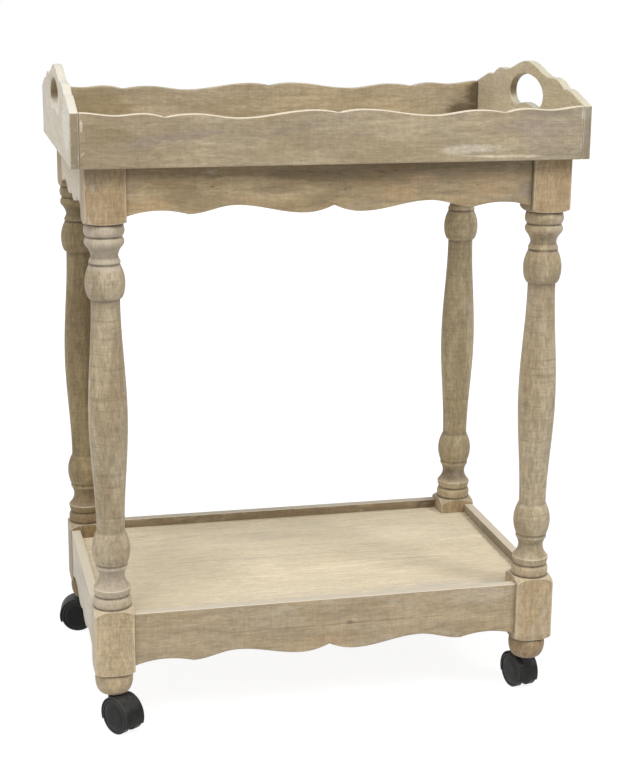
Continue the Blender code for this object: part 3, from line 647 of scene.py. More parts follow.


# Each leg's own tones (pale, brown, grey), wash, hold on the wash, and stains, some of them painted shade
LEG_LOOKS = {
    "front_left": (
        (184, 168, 139), (160, 142, 113), (170, 158, 137), 0.44, 1.0,
        [
            ((-0.238, -0.1585, 0.582), (0.014, 0.03, 0.016), (150, 136, 114), 0.5),
            ((-0.228, -0.1585, 0.086), (0.2, 0.2, 0.066), (204, 183, 150), 0.6),
        ],
    ),
    "front_right": (
        (190, 174, 144), (164, 145, 114), (176, 163, 141), 0.42, 0.45,
        [
            ((0.228, -0.1585, 0.1), (0.2, 0.2, 0.054), (194, 170, 134), 0.5),
            ((0.228, -0.1585, 0.05), (0.2, 0.2, 0.022), (146, 118, 84), 0.6),
            # Painted shadow: a thin dark strip down the upper block's left side, in the gap beside the apron
            ((0.2075, -0.156, 0.572), (0.0012, 0.012, 0.07), (92, 75, 50), 0.75),
            ((0.228, -0.1585, 0.478), (0.2, 0.2, 0.034), (158, 141, 112), 0.45),
        ],
    ),
    "rear_right": (
        (192, 176, 143), (166, 148, 115), (174, 160, 133), 0.34, 0.45,
        [
            # Painted shade: darker bands over the lower bulb and the cove under it
            ((0.228, 0.1175, 0.187), (0.2, 0.2, 0.024), (150, 133, 104), 0.45),
            ((0.222, 0.1175, 0.168), (0.024, 0.2, 0.01), (112, 100, 88), 0.6),
        ],
    ),
    # Painted shade: this leg's darker tones and the dark patch over its lower block stand in for the shadow
    # the rear legs stand in under the tray
    "rear_left": (
        (154, 137, 102), (126, 108, 77), (134, 119, 89), 0.16, 0.30,
        [((-0.228, 0.118, 0.1), (0.2, 0.2, 0.09), (136, 114, 80), 0.65)],
    ),
}
pattern_leg = make_leg()
for quarter, corner in enumerate(CORNERS):
    pale, brown, grey, wash, hold, stains_and_shade = LEG_LOOKS[corner]
    turned_wood = limed_wood(
        f"turned_wood_{corner}", "z", pale, brown, grey, wash=wash, wash_tone=(200, 188, 172), waver=0.4,
        knot_size=0.0022, streaky=0.07, scored=0.10, greying=0.5, mottled=0.20, crease_dirt_and_shade=0.9, turned=True,
        stains_and_shade=stains_and_shade,
    )
    way = at_leg(corner) @ Matrix.Rotation(quarter * math.pi / 2, 4, "Z")
    leg = copy_to(pattern_leg, f"turned_leg_{corner}", way)
    for ring in leg.data.attributes["held"].data:
        ring.value *= hold
    stands_for(leg, [f"leg_{corner}"], "frame", turned_wood)
discard(pattern_leg)


# Aprons: four scalloped boards join the leg blocks at the top and four at the shelf, glued into
# mortises. They are sawn from planks, a little thinner than the blocks, and set back from their faces.
APRON_THICKNESS = 0.010
APRON_MIDDLE_X = 0.2420
APRON_MIDDLE_Y = 0.1485
HALF_LONG = 0.2072
HALF_SHORT = 0.1172
SCALLOP_RISE = 0.0092
BOARD_ARRIS = 0.0007
EDGE_MARGIN = 0.0016
# Lower edges from the middle out: way, share of half the length, share of the scallop's rise, steps
LONG_EDGE = [
    (LINE, 0.000, 0.76, 1),
    (BROW, 0.140, 0.00, 9),
    (EASE, 0.480, 1.00, 16),
    (EASE, 0.705, 0.14, 13),
    (BROW, 0.850, 0.60, 9),
    (FALL, 1.000, 0.06, 9),
]
SHORT_EDGE = [
    (LINE, 0.000, 0.76, 1),
    (BROW, 0.250, 0.00, 9),
    (EASE, 0.600, 1.00, 16),
    (FALL, 1.000, 0.10, 12),
]


def both_halves(points):
    """A half outline that starts on the middle line, with its mirror image before it."""
    return [(-along, across) for along, across in reversed(points[1:])] + points


def saw_board(name, outline, thickness):
    """A board cut to its outline, upright in XZ and centred on Y."""
    board = trace(name, [(along, -thickness / 2, up) for along, up in outline])
    bpy.ops.mesh.select_all(action="SELECT")
    bpy.ops.mesh.edge_face_add()
    bpy.ops.mesh.extrude_region_move(TRANSFORM_OT_translate={"value": (0.0, thickness, 0.0)})
    clean_skin()
    set_down(board)
    return board


def dress_board(board, arris=BOARD_ARRIS, margin=EDGE_MARGIN):
    """Rounds the board's edges, and marks where their wear ends."""
    soften(board, arris)
    inset_flats(board, margin)
    finish_skin(board)


def on_board(face, reach, rows):
    """Stains and patches of painted light or shade on a board's face at that place along Y, from rows of x,
    z, their half sizes, tone, share and perhaps a lean."""
    return [((x, face, z), (wide, reach, high), *rest) for x, z, wide, high, *rest in rows]


FACING_SIDE = Matrix.Rotation(math.pi / 2, 4, "Z")


def make_aprons(level, bottom, height, materials):
    patterns = {}
    for kind, half, edge in (("long", HALF_LONG, LONG_EDGE), ("short", HALF_SHORT, SHORT_EDGE)):
        outline = [*both_halves(follow(edge, half, SCALLOP_RISE)), (half, height), (-half, height)]
        patterns[kind] = saw_board(f"{kind}_{level}_apron", outline, APRON_THICKNESS)
        dress_board(patterns[kind])
    for side, kind, x, y in (
        ("front", "long", 0.0, -APRON_MIDDLE_Y),
        ("rear", "long", 0.0, APRON_MIDDLE_Y),
        ("left", "short", -APRON_MIDDLE_X, 0.0),
        ("right", "short", APRON_MIDDLE_X, 0.0),
    ):
        way = Matrix.Translation((x, y, bottom))
        if kind == "short":
            way = way @ FACING_SIDE
        apron = copy_to(patterns[kind], f"{level}_scalloped_apron_{side}", way)
        stands_for(apron, [f"{level}_apron_{side}"], "frame", materials[kind])
    discard(*patterns.values())


APRON_FACE = -0.1535
TOP_APRON_STAINS_AND_SHADOW = on_board(APRON_FACE, 0.02, [
    (-0.183, 0.552, 0.026, 0.012, (184, 156, 116), 0.6),
    (0.066, 0.561, 0.03, 0.01, (186, 156, 118), 0.5),
    # The next two rows are painted shadow: dark bands along the apron's top, under the tray's overhang
    (-0.02, 0.58, 0.08, 0.007, (122, 106, 82), 0.5, -3.0),
    (0.0, 0.589, 0.4, 0.011, (112, 96, 72), 0.45),
    (0.14, 0.56, 0.05, 0.004, (132, 116, 96), 0.5, 2.0),
    (0.168, 0.567, 0.05, 0.016, (190, 162, 124), 0.45),
    (-0.146, 0.56, 0.03, 0.016, (148, 131, 100), 0.55),
    (-0.096, 0.559, 0.017, 0.003, (194, 162, 130), 0.6, -8.0),
    (-0.056, 0.566, 0.032, 0.005, (126, 110, 86), 0.5),
    (-0.011, 0.557, 0.022, 0.008, (138, 122, 96), 0.5, 14.0),
    (0.092, 0.574, 0.016, 0.01, (190, 160, 130), 0.5),
    (0.2, 0.56, 0.01, 0.012, (138, 126, 118), 0.55),
])
# The top apron's knots: x, z and half size
TOP_APRON_KNOTS = (
    (-0.14, 0.571, 0.0017), (-0.123, 0.571, 0.0014), (-0.1, 0.567, 0.0012),
    (-0.005, 0.57, 0.0014), (0.0105, 0.565, 0.0014), (0.149, 0.5665, 0.0011),
)
LOWER_APRON_STAINS_AND_SHADE = on_board(APRON_FACE, 0.02, [
    (0.02, 0.102, 0.17, 0.0009, (118, 102, 78), 0.45),
    (0.01, 0.085, 0.055, 0.008, (172, 146, 112), 0.45),
    (0.17, 0.122, 0.05, 0.012, (194, 179, 158), 0.6),
# Painted shade on the rear apron's inside face above the shelf, darkest beside the rear-right block
]) + on_board(0.1435, 0.003, [
    (0.195, 0.126, 0.016, 0.009, (80, 64, 48), 0.85),
    (0.0, 0.122, 0.4, 0.014, (124, 107, 80), 0.75),
])
top_apron_wood = {
    "long": limed_wood(
        "top_apron_wood", "x", (188, 166, 130), (154, 134, 100), (160, 146, 121), wash=0.20,
        shift=(0.02, 0.0, 0.013), streaky=0.10, stains_and_shade=TOP_APRON_STAINS_AND_SHADOW,
        knots=[((x, APRON_FACE, z), size) for x, z, size in TOP_APRON_KNOTS],
    ),
    # The side aprons' pale tones are partly painted light, for the bright light on their outer faces, and the
    # pale patch on the left apron's outer face is painted light lifting the shade under the tray
    "short": limed_wood(
        "top_side_apron_wood", "y", (206, 190, 160), (188, 172, 142), (190, 178, 154), wash=0.55,
        wash_tone=(216, 208, 192), sheen=0.6,
        stains_and_shade=[((-0.247, 0.0, 0.57), (0.01, 0.4, 0.15), (226, 212, 186), 0.75)],
    ),
}
lower_apron_wood = {
    "long": limed_wood(
        "lower_apron_wood", "x", (184, 165, 135), (168, 150, 121), (170, 157, 136), wash=0.36,
        top_wear_and_light=0.75, rubbed_and_lit_tone=(220, 211, 194), shift=(0.2, 0.1, 0.04), scored=0.07,
        stains_and_shade=LOWER_APRON_STAINS_AND_SHADE, knots=[((0.022, APRON_FACE, 0.103), 0.003)],
    ),
    "short": limed_wood(
        "lower_side_apron_wood", "y", (196, 179, 148), (174, 156, 126), (178, 165, 142), wash=0.55,
        top_wear_and_light=0.9, sheen=0.6,
        # Painted shade on the inside faces of both lower side aprons
        stains_and_shade=[
            ((0.237, 0.0, 0.12), (0.002, 0.2, 0.03), (122, 103, 68), 0.75),
            ((-0.237, 0.0, 0.12), (0.002, 0.2, 0.03), (128, 112, 86), 0.6),
        ],
    ),
}
TOP_APRON_BOTTOM = 0.5430
TOP_APRON_HEIGHT = 0.054
LOWER_APRON_BOTTOM = 0.0733
LOWER_APRON_HEIGHT = 0.058
make_aprons("top", TOP_APRON_BOTTOM, TOP_APRON_HEIGHT, top_apron_wood)
make_aprons("lower", LOWER_APRON_BOTTOM, LOWER_APRON_HEIGHT, lower_apron_wood)


# Corner braces and battens: plain sawn strips, hidden from the room. The braces are screwed across the
# inside corners of the top frame, and the battens along the lower aprons, where they carry the shelf.
HIDDEN_NODES = {
    ("brace_wood", "x"): [f"corner_brace_{corner}" for corner in CORNERS],
    ("long_batten_wood", "x"): ["shelf_batten_front", "shelf_batten_rear"],
    ("side_batten_wood", "y"): ["shelf_batten_left", "shelf_batten_right"],
}


def refinish(node, material):
    """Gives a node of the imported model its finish, and leaves its shape."""
    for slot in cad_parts[node].material_slots:
        slot.material = material


for (name, along), nodes in HIDDEN_NODES.items():
    rough_wood = limed_wood(name, along, (184, 161, 124), (156, 132, 98), (150, 133, 108), wash=0.12)
    for node in nodes:
        refinish(node, rough_wood)


# Shelf: three boards laid edge to edge on battens, inside the lower aprons and the leg blocks. They
# are the palest wood on the trolley, with faint long grain and no knots to speak of. Their pale tones are
# partly painted light, standing in for light that the tray above keeps off them.
SHELF_TOP = 0.1213
SHELF_THICKNESS = 0.010
SHELF_HALF_LENGTH = 0.2367
SHELF_HALF_DEPTH = 0.1432
SHELF_JOINT = 0.0003
SHELF_BOARDS = 3
SHELF_ARRIS = 0.0003
SHELF_MARGIN = 0.0012
NOTCH_Y = LEG_Y - HALF_LEG - SHELF_JOINT

# The shelf's stains and painted shade: x, y, their half sizes, tone and share
SHELF_STAINS_AND_SHADE = (
    # The first two rows are painted shade: thin dark lines along the shelf's right and rear edges, beside the
    # aprons
    (0.234, -0.01, 0.005, 0.15, (150, 133, 103), 0.7),
    (0.0, 0.142, 0.26, 0.004, (166, 149, 119), 0.6),
    (-0.17, -0.03, 0.13, 0.17, (208, 192, 160), 0.7),
    (0.03, 0.06, 0.22, 0.055, (248, 234, 202), 0.5),
    (-0.02, -0.13, 0.3, 0.032, (206, 193, 168), 0.7),
    (0.19, -0.138, 0.07, 0.022, (172, 158, 138), 0.6),
    (0.13, -0.124, 0.15, 0.036, (202, 188, 163), 0.5),
    (0.0, -0.088, 0.18, 0.04, (220, 205, 176), 0.5),
    (-0.012, 0.0105, 0.15, 0.0016, (176, 160, 132), 0.45),
    (0.13, -0.122, 0.12, 0.016, (204, 193, 180), 0.7),
    (0.0, -0.138, 0.09, 0.008, (208, 200, 188), 0.6),
)
shelf_wood = limed_wood(
    "shelf_wood", "x", (248, 232, 200), (232, 214, 180), (236, 222, 194), wash=0.30, greying=0.4,
    wash_tone=(240, 230, 206), rubbed_and_lit_tone=(240, 231, 208), shift=(0.3, 0.05, 0.0), knot_size=0.0022,
    streaky=0.14, scored=0.04, mottled=0.08, top_wear_and_light=0.2,
    stains_and_shade=[((x, y, SHELF_TOP), (wide, deep, 0.02), *rest) for x, y, wide, deep, *rest in SHELF_STAINS_AND_SHADE],
)
shelf_width = (2 * SHELF_HALF_DEPTH - SHELF_JOINT * (SHELF_BOARDS - 1)) / SHELF_BOARDS
for index in range(SHELF_BOARDS):
    low = -SHELF_HALF_DEPTH + index * (shelf_width + SHELF_JOINT)
    high = low + shelf_width
    centre = (0.0, (low + high) / 2, SHELF_TOP - SHELF_THICKNESS / 2)
    board = block(f"shelf_plank_{index + 1}", centre, (2 * SHELF_HALF_LENGTH, shelf_width, SHELF_THICKNESS))
    # Only the rear board is notched. The front one's corners end out of sight inside the leg blocks.
    if high > NOTCH_Y:
        for side_x in (1, -1):
            side = LEG_SIDE + 2 * SHELF_JOINT
            size = (side, side, SHELF_THICKNESS + 2 * OVERRUN)
            cut(board, block("notch", (side_x * LEG_X, LEG_Y, centre[2]), size))
    dress_board(board, SHELF_ARRIS, SHELF_MARGIN)
    stands_for(board, [f"shelf_board_{index + 1}"], "frame", shelf_wood)


# Castors: bought-in twin-wheel furniture castors of black moulded nylon. A steel stem turns in a
# flanged sleeve in the foot, and each wheel turns on a steel axle inside the hood.
WHEEL_RADIUS = 0.019
WHEEL_INSIDE = 0.0045
WHEEL_WIDTH = 0.008
WHEEL_OUTSIDE = WHEEL_INSIDE + WHEEL_WIDTH
WHEEL_RIM = 0.003
WHEEL_DISC = 0.003
WHEEL_HUB = 0.00425
WHEEL_BORE = 0.00165
WHEEL_BORE_END = 0.0065
HOOD_RADIUS = 0.0212
HOOD_WALL = 0.0015
HOOD_HALF_WIDTH = 0.0121
HOOD_LIP_HEIGHT = 0.0115
HOOD_ARRIS = 0.0009
WEB_FACE = 0.004
TRAIL = 0.0128
COLLAR_RADIUS = 0.00675
COLLAR_TOP = 0.0406
AXLE_BORE = 0.0017
SPIGOT_BORE = 0.0030
SPIGOT_BOTTOM = 0.0263
ROUND_STEPS = 72
TRAIL_ANGLES = {"front_left": -57.0, "front_right": 101.0, "rear_right": 35.0, "rear_left": 171.0}


def moulded_plastic(name, body, scuff, roughness):
    """Black moulded plastic: a fine spark-eroded texture, scuffs on what sticks out, and dust, which on the
    hoods' tops also serves as a painted highlight.
    """
    material, tree, shader = new_material(name)
    coordinates = tree.nodes.new("ShaderNodeTexCoord").outputs
    place = coordinates["Object"]
    wear = use_group(WEAR, {"Vector": place, "Edge": attribute(tree, "edge")})
    mottle = cloud(place, 160.0, 4.0, 0.6)
    colour = blend(ramp(mottle, 0.35, 0.65), tone(body), tone([level + 9 for level in body]))
    scratches = cloud(vectors("MULTIPLY", place, (1.0, 1.0, 7.0)), 240.0, 2.0, 0.7)
    colour = blend(ramp(scratches, 0.63, 0.74, 0.0, 0.35), colour, tone(scuff))
    colour = lay(colour, wear["Rubbed"], 0.45, scuff)
    # Dust on upward faces, partly real dust and partly a painted highlight
    upward = part(coordinates["Normal"], 2)
    lying = ramp(upward, 0.35, 1.0, 0.0, 0.20)
    dust_and_highlight = times(lying, ramp(mottle, 0.3, 0.7, 0.6, 1.0))
    colour = blend(dust_and_highlight, colour, tone((122, 121, 118)))
    dull = ramp(mottle, 0.3, 0.7, roughness - 0.06, roughness + 0.08)
    dull = sums("ADD", dull, times(dust_and_highlight, 0.5))
    coat(shader, colour, dull, cloud(place, 1500.0, 2.0, 0.6), 0.25, 0.0002)
    shader.inputs["Specular IOR Level"].default_value = 0.20
    return material


def zinc_plate(name):
    """Zinc-plated steel, drawn and lightly brushed, with dull patches."""
    material, tree, shader = new_material(name)
    place = tree.nodes.new("ShaderNodeTexCoord").outputs["Object"]
    patches = cloud(place, 90.0, 4.0, 0.6)
    brushed = cloud(vectors("MULTIPLY", place, (1.0, 1.0, 14.0)), 320.0, 2.0, 0.6)
    share = ramp(patches, 0.35, 0.7)
    colour = blend(share, tone((186, 186, 182)), tone((150, 146, 138)))
    dull = sums("MULTIPLY_ADD", patches, 0.2, ramp(brushed, 0.3, 0.7, 0.16, 0.30))
    coat(shader, colour, dull, brushed, 0.2, 0.0001)
    shader.inputs["Metallic"].default_value = 1.0
    return material


def round_bar(name, radius, length, middle, turn=(0.0, 0.0, 0.0)):
    bpy.ops.mesh.primitive_cylinder_add(
        vertices=ROUND_STEPS, radius=radius, depth=length, location=middle, rotation=turn
    )
    return name_new(name)


def drum(name, radius, start, end):
    """A round bar along Y between two places, on the castor's axle line."""
    middle = (TRAIL, (start + end) / 2, WHEEL_RADIUS)
    return round_bar(name, radius, end - start, middle, (math.pi / 2, 0.0, 0.0))


def pillar(name, radius, bottom, top):
    """A round bar along Z on the castor's swivel axis."""
    return round_bar(name, radius, top - bottom, (0.0, 0.0, (bottom + top) / 2))


def make_hood():
    """The hood: a round shell open below, with a web between the wheels and a collar for the stem."""
    hood = drum("hood", HOOD_RADIUS, -HOOD_HALF_WIDTH, HOOD_HALF_WIDTH)
    soften(hood, HOOD_ARRIS)
    cut(hood, pillar("collar", COLLAR_RADIUS, WHEEL_RADIUS, COLLAR_TOP), "UNION")
    for side in (-1, 1):
        start, end = sorted((side * WEB_FACE, side * (HOOD_HALF_WIDTH + OVERRUN)))
        cut(hood, drum("wheel_well", HOOD_RADIUS - HOOD_WALL, start, end))
    below = (4 * HOOD_RADIUS, 4 * HOOD_HALF_WIDTH, 2 * HOOD_LIP_HEIGHT)
    cut(hood, block("below_lip", (TRAIL, 0.0, 0.0), below))
    cut(hood, drum("axle_bore", AXLE_BORE, -HOOD_HALF_WIDTH, HOOD_HALF_WIDTH))
    cut(hood, pillar("spigot_bore", SPIGOT_BORE, SPIGOT_BOTTOM, COLLAR_TOP + OVERRUN))
    finish_skin(hood)
    return hood


def make_wheel():
    """The wheel on the +Y side: a cup with a rounded tread, a raised rim and a slightly domed face."""
    face = WHEEL_OUTSIDE
    inner = WHEEL_INSIDE
    rim = WHEEL_RADIUS - WHEEL_RIM
    bore_end = WHEEL_INSIDE + WHEEL_BORE_END
    profile = [
        (face - 0.0006, 0.0),
        (face - 0.0005, WHEEL_RADIUS * 0.45),
        (face - 0.0005, rim - 0.0006),
        (face - 0.0009, rim),
        (face - 0.0002, rim + 0.0005),
        (face, WHEEL_RADIUS - 0.0018),
        (face - 0.0003, WHEEL_RADIUS - 0.0007),
        (face - 0.0011, WHEEL_RADIUS),
        (inner + 0.0004, WHEEL_RADIUS),
        (inner, WHEEL_RADIUS - 0.0004),
        (inner, rim),
        (face - WHEEL_DISC, rim - 0.0005),
        (face - WHEEL_DISC, WHEEL_HUB + 0.0005),
        (inner, WHEEL_HUB),
        (inner, WHEEL_BORE),
        (bore_end, WHEEL_BORE),
        (bore_end, 0.0),
    ]
    wheel = trace("wheel", [(TRAIL + radius, out, WHEEL_RADIUS) for out, radius in profile])
    bpy.ops.mesh.select_all(action="SELECT")
    centre = (TRAIL, 0.0, WHEEL_RADIUS)
    bpy.ops.mesh.spin(steps=ROUND_STEPS, angle=2 * math.pi, center=centre, axis=(0.0, 1.0, 0.0))
    clean_skin()
    set_down(wheel)
    finish_skin(wheel)
    return wheel


castor_plastic = moulded_plastic("castor_plastic", (20, 20, 19), (74, 74, 70), 0.46)
wheel_plastic = moulded_plastic("wheel_plastic", (8, 8, 8), (60, 59, 57), 0.40)
steel = zinc_plate("zinc_plated_steel")
pattern_hood = make_hood()
pattern_wheel = make_wheel()
other_side = Matrix.Translation((2 * TRAIL, 0.0, 0.0)) @ Matrix.Rotation(math.pi, 4, "Z")
for corner, angle in TRAIL_ANGLES.items():
    way = at_leg(corner) @ Matrix.Rotation(math.radians(angle), 4, "Z")
    hood = copy_to(pattern_hood, f"castor_shell_{corner}", way)
    stands_for(hood, [f"castor_hood_{corner}"], f"castor_{corner}", castor_plastic)
    for letter, local in (("a", other_side), ("b", Matrix.Identity(4))):
        wheel = copy_to(pattern_wheel, f"castor_roller_{corner}_{letter}", way @ local)
        node = f"castor_wheel_{corner}_{letter}"
        stands_for(wheel, [node], f"wheel_{corner}_{letter}", wheel_plastic)
    for kind in ("socket", "stem", "axle"):
        refinish(f"castor_{kind}_{corner}", steel)
discard(pattern_hood, pattern_wheel)


# Tray: lifts off. Two rails with scalloped top edges run between two arched ends that are butted over
# them, glued and pinned. Each end has a hand hole, and a thin base panel slides in grooves.
TRAY_BOTTOM = 0.5923
TRAY_BOARD = 0.0085
TRAY_MIDDLE_X = 0.2615 - TRAY_BOARD / 2
TRAY_MIDDLE_Y = 0.1715 - TRAY_BOARD / 2
RAIL_HALF = 0.2527
RAIL_DIP = 0.0459
RAIL_RISE = 0.0076
RAIL_ARRIS = 0.0010
RAIL_FACE = -0.1715
END_HALF = 0.1715
END_HEIGHT = 0.0875
END_ARRIS = 0.0012
HOLE_HALF_WIDTH = 0.052
HOLE_HEIGHT = 0.0345
HOLE_UP = 0.039
HOLE_MARGIN = 0.001
BASE_BOTTOM = 0.5973
BASE_THICKNESS = 0.005
BASE_HALF_LENGTH = 0.2567
BASE_HALF_DEPTH = 0.1667
GROOVE_FIT = 0.0003
# Rail's top edge from the middle out: way, share of half its length, share of its rise, steps
RAIL_EDGE = [
    (LINE, 0.000, 0.59, 1),
    (BROW, 0.095, 0.97, 6),
    (EASE, 0.384, 0.08, 16),
    (EASE, 0.564, 0.67, 12),
    (FALL, 0.677, 0.30, 7),
    (BROW, 0.764, 0.79, 6),
    (EASE, 0.859, 0.57, 7),
    (EASE, 1.000, 1.00, 9),
]
# End's top edge from its crown out: way, share of half the depth, share of its height, steps
END_EDGE = [
    (LINE, 0.000, 1.000, 1),
    (EASE, 0.426, 0.850, 18),
    (BROW, 0.475, 0.858, 5),
    (FALL, 0.655, 0.752, 10),
    (BROW, 0.695, 0.758, 5),
    (FALL, 0.810, 0.718, 7),
    (LINE, 1.000, 0.612, 2),
]
# Hand hole, from the middle of its top edge round to the middle of its lower edge
HOLE_EDGE = [
    (LINE, 0.00, 1.00, 1),
    (ROUND_ALONG, 1.00, 0.40, 18),
    (ROUND_ACROSS, 0.62, 0.00, 12),
    (EASE, 0.00, 0.10, 12),
]


def make_end():
    edge = both_halves(follow(END_EDGE, END_HALF, END_HEIGHT))
    end = saw_board("end", [*edge, (END_HALF, 0.0), (-END_HALF, 0.0)], TRAY_BOARD)
    around = both_halves(follow(HOLE_EDGE, HOLE_HALF_WIDTH, HOLE_HEIGHT, first_across=HOLE_UP))[1:]
    cut(end, saw_board("hand_hole", around, TRAY_BOARD + 2 * OVERRUN))
    return end


def note_hole_shade(end):
    """Marks the faces inside the hand hole, which get painted shade."""
    hole_shade = end.data.attributes.new("hole_shade", "FLOAT", "FACE")
    for face in end.data.polygons:
        level = (face.center.z - TRAY_BOTTOM - HOLE_UP) / HOLE_HEIGHT
        inside = -0.1 < level < 1.05 and abs(face.center.y) < HOLE_HALF_WIDTH + HOLE_MARGIN
        hole_shade.data[face.index].value = float(inside and abs(face.normal.x) < 0.5)


def cut_groove(board):
    """Ploughs the base panel's groove into a board that stands in place."""
    height = BASE_THICKNESS + 2 * GROOVE_FIT
    level = BASE_BOTTOM + BASE_THICKNESS / 2
    size = (2 * (BASE_HALF_LENGTH + GROOVE_FIT), 2 * (BASE_HALF_DEPTH + GROOVE_FIT), height)
    cut(board, block("groove", (0.0, 0.0, level), size))


# Limewash, grey stains and shadowed corners where the photograph shows them on either rail
RAIL_STAINS_AND_SHADOW = on_board(RAIL_FACE, 0.02, [
    (-0.171, 0.6195, 0.066, 0.0065, (158, 143, 134), 0.75, 7.0),
    (-0.228, 0.625, 0.032, 0.014, (140, 121, 84), 0.75),
]) + on_board(0.163, 0.01, [
    (-0.205, 0.62, 0.06, 0.03, (142, 127, 96), 0.7),
    # The next two rows are painted shadow: the dark corner that the right end casts on the rear rail's inside
    # face
    (0.2525, 0.631, 0.017, 0.03, (88, 72, 47), 0.8),
    (0.249, 0.609, 0.044, 0.021, (92, 76, 50), 0.75),
]) + on_board(RAIL_FACE, 0.02, [
    (-0.215, 0.617, 0.11, 0.05, (149, 134, 108), 0.55),
    (-0.045, 0.627, 0.055, 0.0045, (150, 136, 118), 0.5, 11.0),
    (0.04, 0.623, 0.04, 0.004, (156, 141, 124), 0.4, 6.0),
    (0.133, 0.6045, 0.045, 0.006, (208, 197, 178), 0.65),
    (0.165, 0.5975, 0.05, 0.002, (222, 210, 182), 0.7, -1.0),
    (0.118, 0.639, 0.022, 0.0035, (142, 130, 116), 0.6, -6.0),
    (0.205, 0.625, 0.06, 0.009, (166, 150, 136), 0.5),
    (0.215, 0.64, 0.04, 0.004, (138, 126, 112), 0.5),
    (-0.2505, 0.633, 0.0016, 0.007, (212, 202, 184), 0.8),
    (-0.25, 0.6065, 0.0036, 0.0012, (202, 190, 170), 0.6, 50.0),
    (0.2525, 0.637, 0.0026, 0.01, (214, 206, 190), 0.7),
    (0.252, 0.606, 0.0026, 0.008, (206, 196, 180), 0.5),
])
# The rear rail's top edge is painted less pale than the front one's: less worn wash and less painted light
# from above
tray_rail_wood = {
    side: limed_wood(
        f"tray_rail_wood_{side}", "x", (182, 166, 137), (160, 144, 115), (164, 152, 133), wash=0.30,
        shift=(0.11, 0.02, 0.31), knot_size=0.0012, top_wear_and_light=top_wear_and_light, rubbed=rubbed, stains_and_shade=RAIL_STAINS_AND_SHADOW,
    )
    for side, top_wear_and_light, rubbed in (("front", 0.85, 0.15), ("rear", 0.15, 0.03))
}
# The left end's edges are worn nearly white, and the right one's less. The same pale tone also colours their
# tops, partly as painted light from above.
tray_end_wood = {
    side: limed_wood(
        f"tray_end_wood_{side}", "y", (208, 192, 158), (188, 172, 138), (190, 178, 154), wash=0.50,
        wash_tone=(214, 206, 190), rubbed_and_lit_tone=worn, top_wear_and_light=0.75, rubbed=0.15, sheen=0.6, crease_dirt_and_shade=0.1,
        hole_shade=0.6, stains_and_shade=stains_and_shade,
    )
    for side, worn, stains_and_shade in (
        ("left", (229, 225, 213), [
            ((-0.257, -0.1715, 0.608), (0.002, 0.004, 0.006), (196, 184, 164), 0.6),
            ((-0.2615, -0.13, 0.63), (0.001, 0.05, 0.03), (232, 226, 212), 0.6),
        ]),
        ("right", (207, 202, 180), [
            ((0.257, -0.1715, 0.639), (0.006, 0.004, 0.008), (224, 218, 206), 0.8),
            ((0.255, -0.1715, 0.615), (0.005, 0.004, 0.013), (216, 208, 194), 0.7),
            ((0.26, -0.1715, 0.598), (0.003, 0.004, 0.005), (206, 198, 184), 0.7),
        ]),
    )
}
tray_base_wood = limed_wood(
    "tray_base_wood", "x", (206, 188, 154), (184, 166, 134), (188, 175, 150), wash=0.45,
    wash_tone=(214, 203, 180), top_wear_and_light=0.2,
)
edge = both_halves(follow(RAIL_EDGE, RAIL_HALF, RAIL_RISE, first_across=RAIL_DIP))
pattern_rail = saw_board("rail", [*edge, (RAIL_HALF, 0.0), (-RAIL_HALF, 0.0)], TRAY_BOARD)
pattern_end = make_end()
for side, sign in (("front", -1), ("rear", 1)):
    way = Matrix.Translation((0.0, sign * TRAY_MIDDLE_Y, TRAY_BOTTOM))
    rail = copy_to(pattern_rail, f"tray_scalloped_rail_{side}", way)
    cut_groove(rail)
    dress_board(rail, RAIL_ARRIS)
    stands_for(rail, [f"tray_rail_{side}"], "tray", tray_rail_wood[side])
for side, sign in (("left", -1), ("right", 1)):
    way = Matrix.Translation((sign * TRAY_MIDDLE_X, 0.0, TRAY_BOTTOM)) @ FACING_SIDE
    end = copy_to(pattern_end, f"tray_arched_end_{side}", way)
    cut_groove(end)
    dress_board(end, END_ARRIS)
    note_hole_shade(end)
    stands_for(end, [f"tray_end_{side}"], "tray", tray_end_wood[side])
discard(pattern_rail, pattern_end)
refinish("tray_base", tray_base_wood)


# Studio: a plain pale floor and sky, with soft square lamps high in front on the left and right, one low
# on the left and one nearly overhead. The camera sees white, and the trolley's shadow stays on the floor.
FLOOR_SIZE = 14.0
FLOOR_GREY = 0.62
SEEN_GREY = 0.22
SHADE_REACH = (0.7, 1.8)
SHADE_GLOW = (0.90, 1.0)
SKY_LIGHT = 0.31
AIM_HEIGHT = 0.35
WHITE = (1.0, 1.0, 1.0, 1.0)


def seen_share(tree):
    """1 where the camera sees a thing itself, in a gloss or through glass, and 0 where light meets it."""
    path = tree.nodes.new("ShaderNodeLightPath").outputs
    indirect = sums("MAXIMUM", path["Is Glossy Ray"], path["Is Transmission Ray"])
    return sums("MAXIMUM", path["Is Camera Ray"], indirect)


bpy.ops.mesh.primitive_plane_add(size=FLOOR_SIZE, location=(0.0, 0.0, 0.0))
floor = bpy.context.object
floor.name = "studio_floor"
material = bpy.data.materials.new("studio_white")
material.use_nodes = True
tree = material.node_tree
tree.nodes.clear()
seen = seen_share(tree)
shade = blend(seen, (FLOOR_GREY,) * 3 + (1.0,), (SEEN_GREY,) * 3 + (1.0,))
paper = add("ShaderNodeBsdfDiffuse", {"Color": shade})
place = tree.nodes.new("ShaderNodeTexCoord").outputs["Object"]
reach = add("ShaderNodeVectorMath", {0: place}, operation="LENGTH").outputs["Value"]
strength = times(seen, ramp(reach, *SHADE_REACH, *SHADE_GLOW))
glow = add("ShaderNodeEmission", {"Color": WHITE, "Strength": strength})
both = add("ShaderNodeAddShader", {0: paper.outputs[0], 1: glow.outputs[0]})
add("ShaderNodeOutputMaterial", {0: both.outputs[0]})
floor.data.materials.append(material)

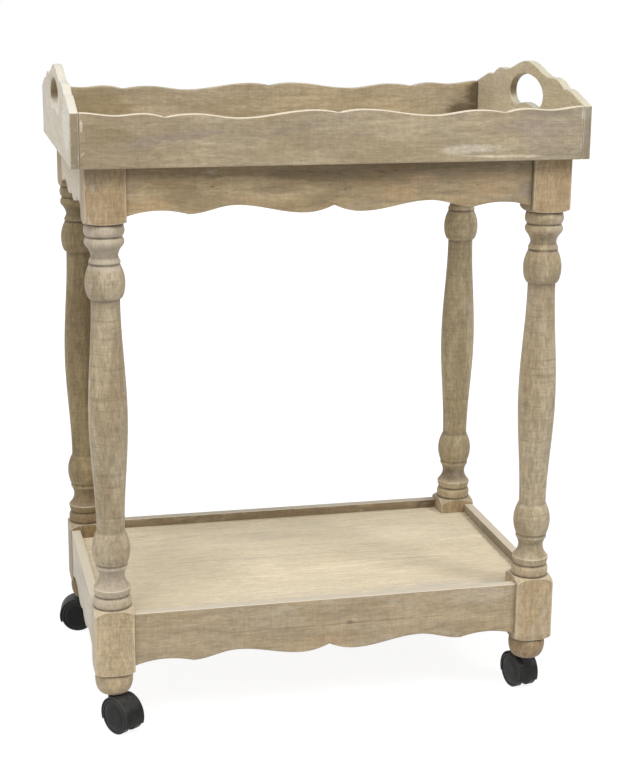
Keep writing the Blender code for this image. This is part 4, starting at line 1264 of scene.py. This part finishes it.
world = bpy.data.worlds.new("studio")
bpy.context.scene.world = world
world.use_nodes = True
tree = world.node_tree
tree.nodes.clear()
strength = ramp(seen_share(tree), 0.0, 1.0, SKY_LIGHT, 1.0)
sky = add("ShaderNodeBackground", {"Color": WHITE, "Strength": strength})
add("ShaderNodeOutputWorld", {0: sky.outputs[0]})

# Each lamp: its distance, turn from straight in front to the right, rise, side, power and colour
LAMPS = {
    "left_lamp": (5.5, -36.0, 42.0, 2.6, 71.0, (1.0, 0.99, 0.965)),
    "side_lamp": (5.0, -80.0, 10.0, 2.2, 50.0, (1.0, 0.99, 0.965)),
    "right_lamp": (5.5, 45.0, 39.0, 1.5, 112.0, (1.0, 0.985, 0.96)),
    "top_lamp": (4.5, -8.0, 66.0, 2.6, 84.0, (1.0, 0.99, 0.97)),
}


def hang_lamp(name, distance, turn, rise, side, power, colour):
    """A soft square lamp that faces the trolley's middle."""
    flat = distance * math.cos(math.radians(rise))
    across = flat * math.sin(math.radians(turn))
    height = distance * math.sin(math.radians(rise)) + AIM_HEIGHT
    place = (across, -flat * math.cos(math.radians(turn)), height)
    lamp = bpy.data.lights.new(name, "AREA")
    lamp.shape = "SQUARE"
    lamp.size = side
    lamp.energy = power
    lamp.color = colour
    hung = bpy.data.objects.new(name, lamp)
    hung.location = place
    aim = Vector((0.0, 0.0, AIM_HEIGHT)) - Vector(place)
    hung.rotation_euler = aim.to_track_quat("-Z", "Y").to_euler()
    bpy.context.scene.collection.objects.link(hung)


for name, settings in LAMPS.items():
    hang_lamp(name, *settings)

# Camera: a short telephoto, a little left of the front and above the tray, looking slightly down
LENS = 78.81
FILM_WIDTH = 36.0
CAMERA_PLACE = (-0.3977, -1.7697, 0.7961)
CAMERA_TURN = -13.14
CAMERA_DIP = 14.50
CAMERA_ROLL = 0.48
camera_data = bpy.data.cameras.new("camera")
camera_data.lens = LENS
camera_data.sensor_width = FILM_WIDTH
camera = bpy.data.objects.new("camera", camera_data)
camera.matrix_world = (
    Matrix.Translation(CAMERA_PLACE)
    @ Matrix.Rotation(math.radians(CAMERA_TURN), 4, "Z")
    @ Matrix.Rotation(math.radians(90.0 - CAMERA_DIP), 4, "X")
    @ Matrix.Rotation(math.radians(CAMERA_ROLL), 4, "Z")
)
bpy.context.scene.collection.objects.link(camera)
bpy.context.scene.camera = camera
bpy.context.scene.view_settings.view_transform = "Standard"
